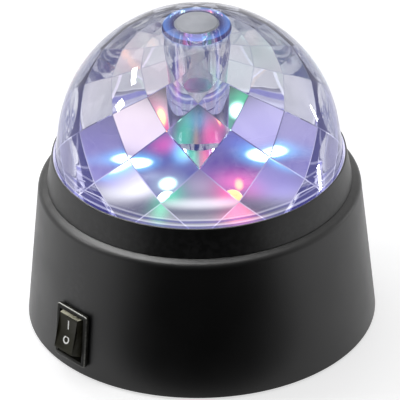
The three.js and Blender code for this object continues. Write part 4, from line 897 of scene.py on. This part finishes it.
def makeCap():
    seat, slope, radius = domeTop - dome["capDepth"], dome["capSlope"], dome["capRadius"]
    small, lip, fall = take(cap, "footRound lipRound lipFall")
    low = domeCentre + sqrt(domeRadius ** 2 - radius ** 2) - slope * fall
    outline = [(0, seat), (radius - small, seat), (radius, seat + small)]
    outline += [(radius, low - lip), (radius - lip, low)]
    start = degrees(acos((radius - slope) / domeRadius))
    outline += arc((0, domeCentre), domeRadius, start, 90, cap["arcSteps"])
    outline[-1] = (0, domeTop)
    piece = smooth(turned(outline, cap["segments"], "frostedPlastic", name="domeCap"), sharp=30)
    return place(piece, "dome", "frosted_plastic", "dome_cap")


# Reflector and lamps

plate = {
    "segments": 160, "seat": 1.4, "firstStep": 0.6, "secondStep": 0.3, "stepWidth": 3.4,
    "slope": 0.7, "stepRounds": (0.4, 0.4, 0.35, 0.35), "roundSteps": 4, "floor": 1.4,
    "shaftHole": 4.2, "lampHole": 2.8, "holeSegments": 40, "edge": 0.25,
}


def lampPlace(name):
    turn = radians(lamps[name][1])
    return lampCircle * cos(turn), lampCircle * sin(turn)


def makePlate():
    slope, width, hole, edge = take(plate, "slope stepWidth shaftHole edge")
    inner, seat = plateRadius - collar["seatWidth"], plateTop - plate["seat"]
    first = plateRadius - width
    second = first - slope - width
    middle = plateTop - plate["firstStep"]
    floor = middle - plate["secondStep"]
    under = floor - plate["floor"]
    outline = [(hole, under), (inner, under), (inner, seat), (plateRadius, seat)]
    outline += [(plateRadius, plateTop - edge), (plateRadius - edge, plateTop)]
    # Both steps, with a round at the top and at the foot of each
    line = [(plateRadius, plateTop), (first, plateTop), (first - slope, middle)]
    line += [(second, middle), (second - slope, floor), (hole, floor)]
    for index, radius in enumerate(plate["stepRounds"]):
        outline += roundedCorner(*line[index:index + 3], radius, plate["roundSteps"])
    outline.append((hole, floor))
    piece = turned(outline, plate["segments"], "silverPlastic", name="reflectorPlate")
    size = (plate["lampHole"], under - 1, plateTop + 1, plate["holeSegments"])
    holes = [move(rod(*size, "silverPlastic"), *lampPlace(name)) for name in lamps]
    smooth(carve(piece, holes), sharp=30)
    return place(piece, "base", "silver_plastic", "reflector_plate")


lens = {
    "segments": 40, "radius": 2.5, "height": 7.6, "arcSteps": 10, "flange": 2.9,
    "flangeHeight": 1.0, "flangeRound": 0.15, "leg": 0.5, "legGap": 2.54, "legDown": 2.6,
    "legUp": 0.5,
}


def makeLamp(name):
    kind = lamps[name][0]
    radius, wide, small = take(lens, "radius flange flangeRound")
    top, rim = boardTop + lens["height"], boardTop + lens["flangeHeight"]
    outline = [(0, boardTop), (wide - small, boardTop), (wide, boardTop + small)]
    outline += [(wide, rim), (radius, rim + small)]
    outline += arc((0, top - radius), radius, 0, 90, lens["arcSteps"])
    outline[-1] = (0, top)
    piece = turned(outline, lens["segments"], kind + "Lamp", name=name + "_lens")
    half, low, high = lens["leg"] / 2, boardTop - lens["legDown"], boardTop + lens["legUp"]
    legs = []
    for x in (-lens["legGap"] / 2, lens["legGap"] / 2):
        legs.append(block((x - half, -half, low), (x + half, half, high), kind + "Lamp"))
    carve(piece, legs, "UNION")
    smooth(move(piece, *lampPlace(name)), sharp=40)
    piece.visible_diffuse = False
    return place(piece, "base", kind + "_lamp", name)


# Rocker switch, built level with its flange's outer face at y = 0 and then set in the wall

rocker = {
    "azimuth": -48.4, "height": shellBottom + 14.6, "flangeWidth": 16.2, "flangeHeight": 21,
    "flangeThickness": 1.6, "standoff": 0.1, "corner": 1.2, "cornerSteps": 5, "rim": 0.5,
    "bodyWidth": 14.2, "bodyHeight": 19.2, "bodyStart": 0.8, "bodyDepth": 15,
    "bodyWall": 0.8, "floor": 1.6, "housingEdge": 0.12, "pivotDepth": 7.6, "faceReach": 9,
    "halfLength": 7, "tilt": 8.5, "baseReach": 5, "baseHalf": 8, "kneeReach": 3,
    "kneeHalf": 7.4, "tailReach": 1.6, "tailHalf": 2, "baseWidth": 12.2, "faceWidth": 9.4,
    "faceSteps": 6, "faceCurve": 1.25, "edge": 0.35, "pin": 1.0, "pinLength": 0.55,
    "pinPlay": 0.1, "pinSegments": 24,
}


def switchFrame():
    front = -rocker["flangeThickness"] - rocker["standoff"]
    return switchPlace() @ Matrix.Translation((0, front * mm, 0))


def flangeRing(y, inset, cut):
    # The flange's outline at a depth, with its sizes and corners reduced
    made, corner = [], rocker["corner"] - cut
    halfX = (rocker["flangeWidth"] - inset) / 2 - corner
    halfZ = (rocker["flangeHeight"] - inset) / 2 - corner
    for side, end, start in ((1, 1, 0), (-1, 1, 90), (-1, -1, 180), (1, -1, 270)):
        turn = (side * halfX, end * halfZ), corner, start, start + 90, rocker["cornerSteps"]
        made += [(x, y, z) for x, z in arc(*turn)]
    return made


def crossRod(radius, reach, materialName):
    # A rod along X through the rocker's pivot
    piece = rod(radius, -reach, reach, rocker["pinSegments"], materialName)
    piece.data.transform(Matrix.Rotation(pi / 2, 4, "Y"))
    return piece


def makeHousing():
    rim, wall, depth, play = take(rocker, "rim bodyWall bodyDepth pinPlay")
    # Depth of each layer and what it takes off; the front edge is rounded over
    layers = [(rocker["flangeThickness"], 0, 0), (rim, 0, 0)]
    layers += [(rim * 0.3, rim * 0.5, rim * 0.2), (0, rim * 1.4, rim * 0.5)]
    rings = [flangeRing(*layer) for layer in layers]
    piece = lofted("switchHousing", rings, "switchBlack", "switchRimHighlight")
    # The rounded front edge takes the rim finish, painted lighter as a highlight
    for face in piece.data.polygons:
        depths = [round(piece.data.vertices[index].co.y / mm, 2) for index in face.vertices]
        if min(depths) < max(depths) <= rim:
            face.material_index = 1
    x, z = rocker["bodyWidth"] / 2, rocker["bodyHeight"] / 2
    body = block((-x, rocker["bodyStart"], -z), (x, depth, z), "switchBlack")
    carve(piece, [body], "UNION")
    x, z = x - wall, z - wall
    room = block((-x, -1, -z), (x, depth - rocker["floor"], z), "switchBlack")
    reach = rocker["baseWidth"] / 2 + rocker["pinLength"] + play
    bore = move(crossRod(rocker["pin"] + play, reach, "switchBlack"), y=rocker["pivotDepth"])
    carve(piece, [room, bore])
    soften(piece, rocker["housingEdge"])
    piece.data.transform(switchFrame())
    return place(smooth(piece), "base", "switch_black", "switch_housing")


def rockerFrame():
    pivot = Matrix.Translation((0, rocker["pivotDepth"] * mm, 0))
    return switchFrame() @ pivot @ Matrix.Rotation(-radians(rocker["tilt"]), 4, "X")


def makeRocker():
    # A side outline through the V face and both ends, widened towards its base
    reach, half, foot, steps = take(rocker, "faceReach halfLength baseReach faceSteps")
    tilt, base, top = radians(rocker["tilt"]), rocker["baseWidth"] / 2, rocker["faceWidth"] / 2
    tip = (reach + half * sin(tilt), half * cos(tilt))
    upper = []
    for index in range(steps + 1):
        t = index / steps
        upper.append((reach + (tip[0] - reach) * t ** rocker["faceCurve"], tip[1] * t))
    upper += [(foot, rocker["baseHalf"]), (rocker["kneeReach"], rocker["kneeHalf"])]
    upper.append((-rocker["tailReach"], rocker["tailHalf"]))
    rings = [[], []]
    for out, up in upper + [(out, -up) for out, up in reversed(upper[1:])]:
        width = base + (top - base) * min(1, max(0, (out - foot) / (tip[0] - foot)))
        rings[0].append((-width, -out, up))
        rings[1].append((width, -out, up))
    piece = lofted("switchRocker", rings, "rockerBlack", split=True)
    carve(piece, [crossRod(rocker["pin"], base + rocker["pinLength"], "rockerBlack")], "UNION")
    soften(piece, rocker["edge"], 3, sharp=25)
    piece.data.transform(rockerFrame())
    return place(smooth(piece), "rocker", "switch_black", "switch_rocker")


marks = {
    "height": 4.5, "width": 0.6, "ring": 1.55, "ringWidth": 0.6, "ringSegments": 48,
    "proud": 0.03, "deep": 0.25, "lean": 1.05, "iUp": 2.9, "oDown": 2.6,
}


def makeMarks():
    # The generic I and O, filled into the rocker's two planes
    proud, deep, outer, width = take(marks, "proud deep ring ringWidth")
    x, z, inner, thick = marks["width"] / 2, marks["height"] / 2, outer - width, deep + proud
    stroke = block((-x, -proud, -z), (x, deep, z), "markPaint", "markI")
    outline = [(inner, 0), (outer, 0), (outer, thick), (inner, thick)]
    ring = turned(outline, marks["ringSegments"], "markPaint", name="markO")
    ring.data.transform(Matrix.Rotation(-pi / 2, 4, "X"))
    half, tilt = rocker["halfLength"], radians(rocker["tilt"])
    for piece, up in ((stroke, marks["iUp"]), (move(ring, y=-proud), -marks["oDown"])):
        out = rocker["faceReach"] + (abs(up) / half) ** rocker["faceCurve"] * half * sin(tilt)
        lean = Matrix.Rotation(copysign(tilt, up) * marks["lean"], 4, "X")
        spot = Matrix.Translation((0, -out * mm, up * mm)) @ lean
        piece.data.transform(rockerFrame() @ spot)
        place(smooth(piece), "rocker", "switch_black")


# Underside

eased = {
    "bottom_cover": ("base", 0.25), "battery_door": ("door", 0.2), "chassis_deck": ("base", 0.2),
}
cell = {
    "segments": 48, "nubRadius": 2.75, "nubLength": 1.0, "nubRound": 0.25, "crimp": 0.5,
    "faceRadius": 3.9, "faceSlope": 0.3, "faceDip": 0.15, "topDip": 0.2,
}
feet = {
    "segments": 48, "dish": 0.25, "dishRadius": 0.55, "rimRadius": 0.62, "round": 0.5,
    "roundSteps": 5,
}


def makeEased(name):
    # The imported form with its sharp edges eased
    body, width = eased[name]
    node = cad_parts[name]
    bm = bmesh.new()
    bm.from_mesh(node.data)
    bm.transform(node.matrix_world)
    bmesh.ops.remove_doubles(bm, verts=bm.verts, dist=0.001 * mm)
    bmesh.ops.dissolve_limit(bm, angle_limit=radians(1), verts=bm.verts, edges=bm.edges)
    piece = smooth(soften(fromBmesh(name + "_eased", bm, "satinBlack"), width), sharp=40)
    # Wide faces keep their own direction beside the eased edges
    piece.modifiers.new("even", "WEIGHTED_NORMAL").keep_sharp = True
    return place(settle(piece), body, "black_plastic", name)


def makeCell(index):
    # Every second cell points the other way
    name = f"battery_cell_{index}"
    low, high = nodeLow(name), nodeHigh(name)
    centre, length, radius = (low + high) / 2, high.x - low.x, (high.z - low.z) / 2
    crimp, face, slope, dip = take(cell, "crimp faceRadius faceSlope faceDip")
    nub, small, shoulder = cell["nubRadius"], cell["nubRound"], length - cell["nubLength"]
    nubFoot = shoulder - cell["topDip"]
    outline = [(0, dip), (face, dip), (face + slope, 0), (radius - crimp, 0), (radius, crimp)]
    outline += [(radius, shoulder - crimp), (radius - crimp, shoulder), (face, shoulder)]
    outline += [(face - slope, nubFoot), (nub, nubFoot), (nub, length - small)]
    outline += [(nub - small, length), (0, length)]
    piece = turned(outline, cell["segments"], "cellJacket", name=f"batteryCell{index}")
    side, start = (1, low.x) if index % 2 else (-1, high.x)
    piece.data.transform(Matrix.Rotation(side * pi / 2, 4, "Y"))
    move(piece, start, centre.y, centre.z)
    return place(smooth(piece), "base", "cell_jacket", name)


def makeFoot(index):
    name = f"rubber_foot_{index}"
    low, high = nodeLow(name), nodeHigh(name)
    centre, radius, small = (low + high) / 2, (high.x - low.x) / 2, feet["round"]
    dish, bottom = radius * feet["dishRadius"], low.z + feet["dish"]
    outline = [(0, bottom), (dish, bottom), (radius * feet["rimRadius"], low.z)]
    outline += arc((radius - small, low.z + small), small, -90, 0, feet["roundSteps"])
    outline += [(radius, high.z), (0, high.z)]
    piece = turned(outline, feet["segments"], "rubber", name=f"rubberFoot{index}")
    move(piece, centre.x, centre.y)
    return place(smooth(piece), "base", "rubber", name)


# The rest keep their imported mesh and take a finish

keptFinishes = {
    "greyPlastic": "gearbox_case gearbox_lid",
    "whiteNylon": "first_gear second_gear output_gear motor_end_cap",
    "steel": "first_gear_pin second_gear_pin motor_can motor_rotor contact_plus contact_minus "
    "contact_bridge_left contact_bridge_right",
    "litSteel": "output_shaft",
    "bronze": "shaft_bush",
    "brass": "motor_pinion switch_terminal_upper switch_terminal_lower",
    "boardGreen": "led_board",
    "redLead": "lead_battery_switch lead_switch_board lead_motor_plus",
    "blackLead": "lead_battery_board lead_motor_minus",
}
for kind in ("chassis", "cover", "board", "gearbox"):
    for index in (1, 2, 3):
        keptFinishes["steel"] += f" {kind}_screw_{index}"


def finishKept():
    for finish, names in keptFinishes.items():
        for node in take(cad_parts, names):
            node.data.materials.clear()
            node.data.materials.append(materials[finish])


# Studio


def makeFloor():
    # White paper; reflections see it dark in front, as if a black card lay there
    bm = bmesh.new()
    bmesh.ops.create_grid(bm, x_segments=4, y_segments=4, size=studio["floorSize"] * mm)
    floor = fromBmesh("floor", bm)
    material, tree, shader = startMaterial("floorPaper")
    spot, path = axes(tree), addNode(tree, "LightPath").outputs
    across, through = calc("ABSOLUTE", spot["X"]), path["Is Transmission Ray"]
    patch = placeGroup(tree, "cloud", Size=studio["floorPatch"], High=studio["floorDrift"])
    color = blendColor(patch, studio["floorColor"], studio["floorShade"])
    near, far = studio["cardHalfWidth"]
    close, away = studio["cardStart"]
    beyond = calc("MAXIMUM", calc("SUBTRACT", -away * mm, spot["Y"]), 0.0)
    narrowed = calc("SUBTRACT", across, times(beyond, studio["cardSpread"]))
    card = mask((narrowed, far, near), (spot["Y"], -close, -away))
    card = times(card, path["Is Glossy Ray"])
    color = blendColor(card, color, studio["cardColor"])
    low, high = studio["paperLevels"]
    uneven = placeGroup(tree, "cloud", Size=studio["paperPatch"], Low=low, High=high)
    level = blendValue(through, 1.0, uneven)
    color = joinNode("VectorMath", {0: color, "Scale": level}, operation="SCALE").outputs[0]
    seen = calc("ADD", path["Is Camera Ray"], path["Is Glossy Ray"])
    seen = calc("MINIMUM", calc("ADD", seen, through), 1.0)
    glow = times(seen, calc("SUBTRACT", 1.0, card), level, studio["floorGlow"])
    # Blue cards to the sides, which only the clear dome shows
    fold = placeGroup(tree, "cloud", Size=studio["sideCardSize"])
    side = mask((across, *studio["sideCardFrom"]), (spot["Y"], *studio["sideCardBehind"]))
    side = times(side, ramp(fold, *studio["sideCardEdges"]), through)
    setInputs(shader, {
        "Base Color": blendColor(side, color, studio["sideCardColor"]),
        "Roughness": 0.9, "Specular IOR Level": 0,
        "Emission Color": blendColor(side, white, studio["sideCardColor"]),
        "Emission Strength": glow,
    })
    floor.data.materials.append(material)


def makeWorld():
    # A white tent, open and dark on the camera's side; plain white straight behind
    scene.world = bpy.data.worlds.new("tent")
    scene.world.use_nodes = True
    tree = scene.world.node_tree
    direction = addNode(tree, "TexCoord").outputs["Generated"]
    parts, path = axes(tree, direction), addNode(tree, "LightPath").outputs
    side = times(calc("ABSOLUTE", parts["X"]), studio["wallSide"])
    wall = ramp(calc("ADD", parts["Y"], side), *studio["wallTurn"], *studio["wallLevels"])
    inputs = {"Vector": direction, "Scale": studio["panelScale"], "Detail": studio["panelDetail"]}
    panels = addNode(tree, "TexNoise", inputs).outputs["Fac"]
    panel = ramp(panels, *studio["panelEdges"])
    tone = blendColor(panel, studio["panelShade"], studio["panelColor"])
    tone = blendColor(path["Is Transmission Ray"], white, tone)
    wall = calc("MAXIMUM", wall, path["Is Transmission Ray"])
    level = blendValue(path["Is Diffuse Ray"], wall, studio["ambient"])
    shown = blendValue(path["Is Camera Ray"], level, 1.0)
    setInputs(tree.nodes["Background"], {"Color": tone, "Strength": shown})


softboxes = {
    "overhead": {"from": (-0.2, 0.5, 0.84), "size": (800, 600), "radiance": 1.5},
    "leftHigh": {"from": (-0.658, 0.218, 0.719), "size": (240, 70), "radiance": 26},
    "left": {"from": (-0.844, -0.01, 0.533), "size": (110, 130), "radiance": 26},
    "right": {"from": (0.907, 0.42, 0.022), "size": (45, 170), "radiance": 26},
    "shoulder": {
        "from": (-0.13, 0.31, 0.94), "size": (500, 560), "radiance": 19, "only": "base",
    },
    "rightLow": {
        "from": (0.979, 0.06, -0.194), "size": (10, 28), "radiance": 26, "only": "dome",
        "distance": 162,
    },
}
farAway = 1000


def makeSoftboxes(pieces):
    # Two of them are flagged off everything but the base or the dome
    middle = Vector((0, 0, studio["target"])) * mm
    for name, box in softboxes.items():
        data = bpy.data.lights.new(name, "AREA")
        data.shape = "RECTANGLE"
        data.size, data.size_y = [length * mm for length in box["size"]]
        data.energy = box["radiance"] * pi * data.size * data.size_y
        lamp = addObject(name, data)
        towards = Vector(box["from"]).normalized()
        lamp.location = middle + towards * box.get("distance", farAway) * mm
        lamp.rotation_euler = towards.to_track_quat("Z", "Y").to_euler()
        adjust(lamp, {"visible_transmission": False, "visible_camera": False})
        if "only" in box:
            lit = bpy.data.collections.new(name + " receivers")
            for piece in pieces[box["only"]]:
                lit.objects.link(piece)
            lamp.light_linking.receiver_collection = lit


makeCamera()
lit = {"base": [makeShell(), makeCollar()]}
print("base made")
lit["dome"] = [makeDome()]
makeCap()
print("dome made")
makePlate()
for lampName in lamps:
    makeLamp(lampName)
print("reflector and lamps made")
makeHousing()
makeRocker()
makeMarks()
for index in (1, 2, 3):
    makeFoot(index)
    makeCell(index)
for easedName in eased:
    makeEased(easedName)
finishKept()
print("switch and underside made")
makeFloor()
makeWorld()
makeSoftboxes(lit)
scene.view_settings.view_transform = "Standard"
print("studio made")
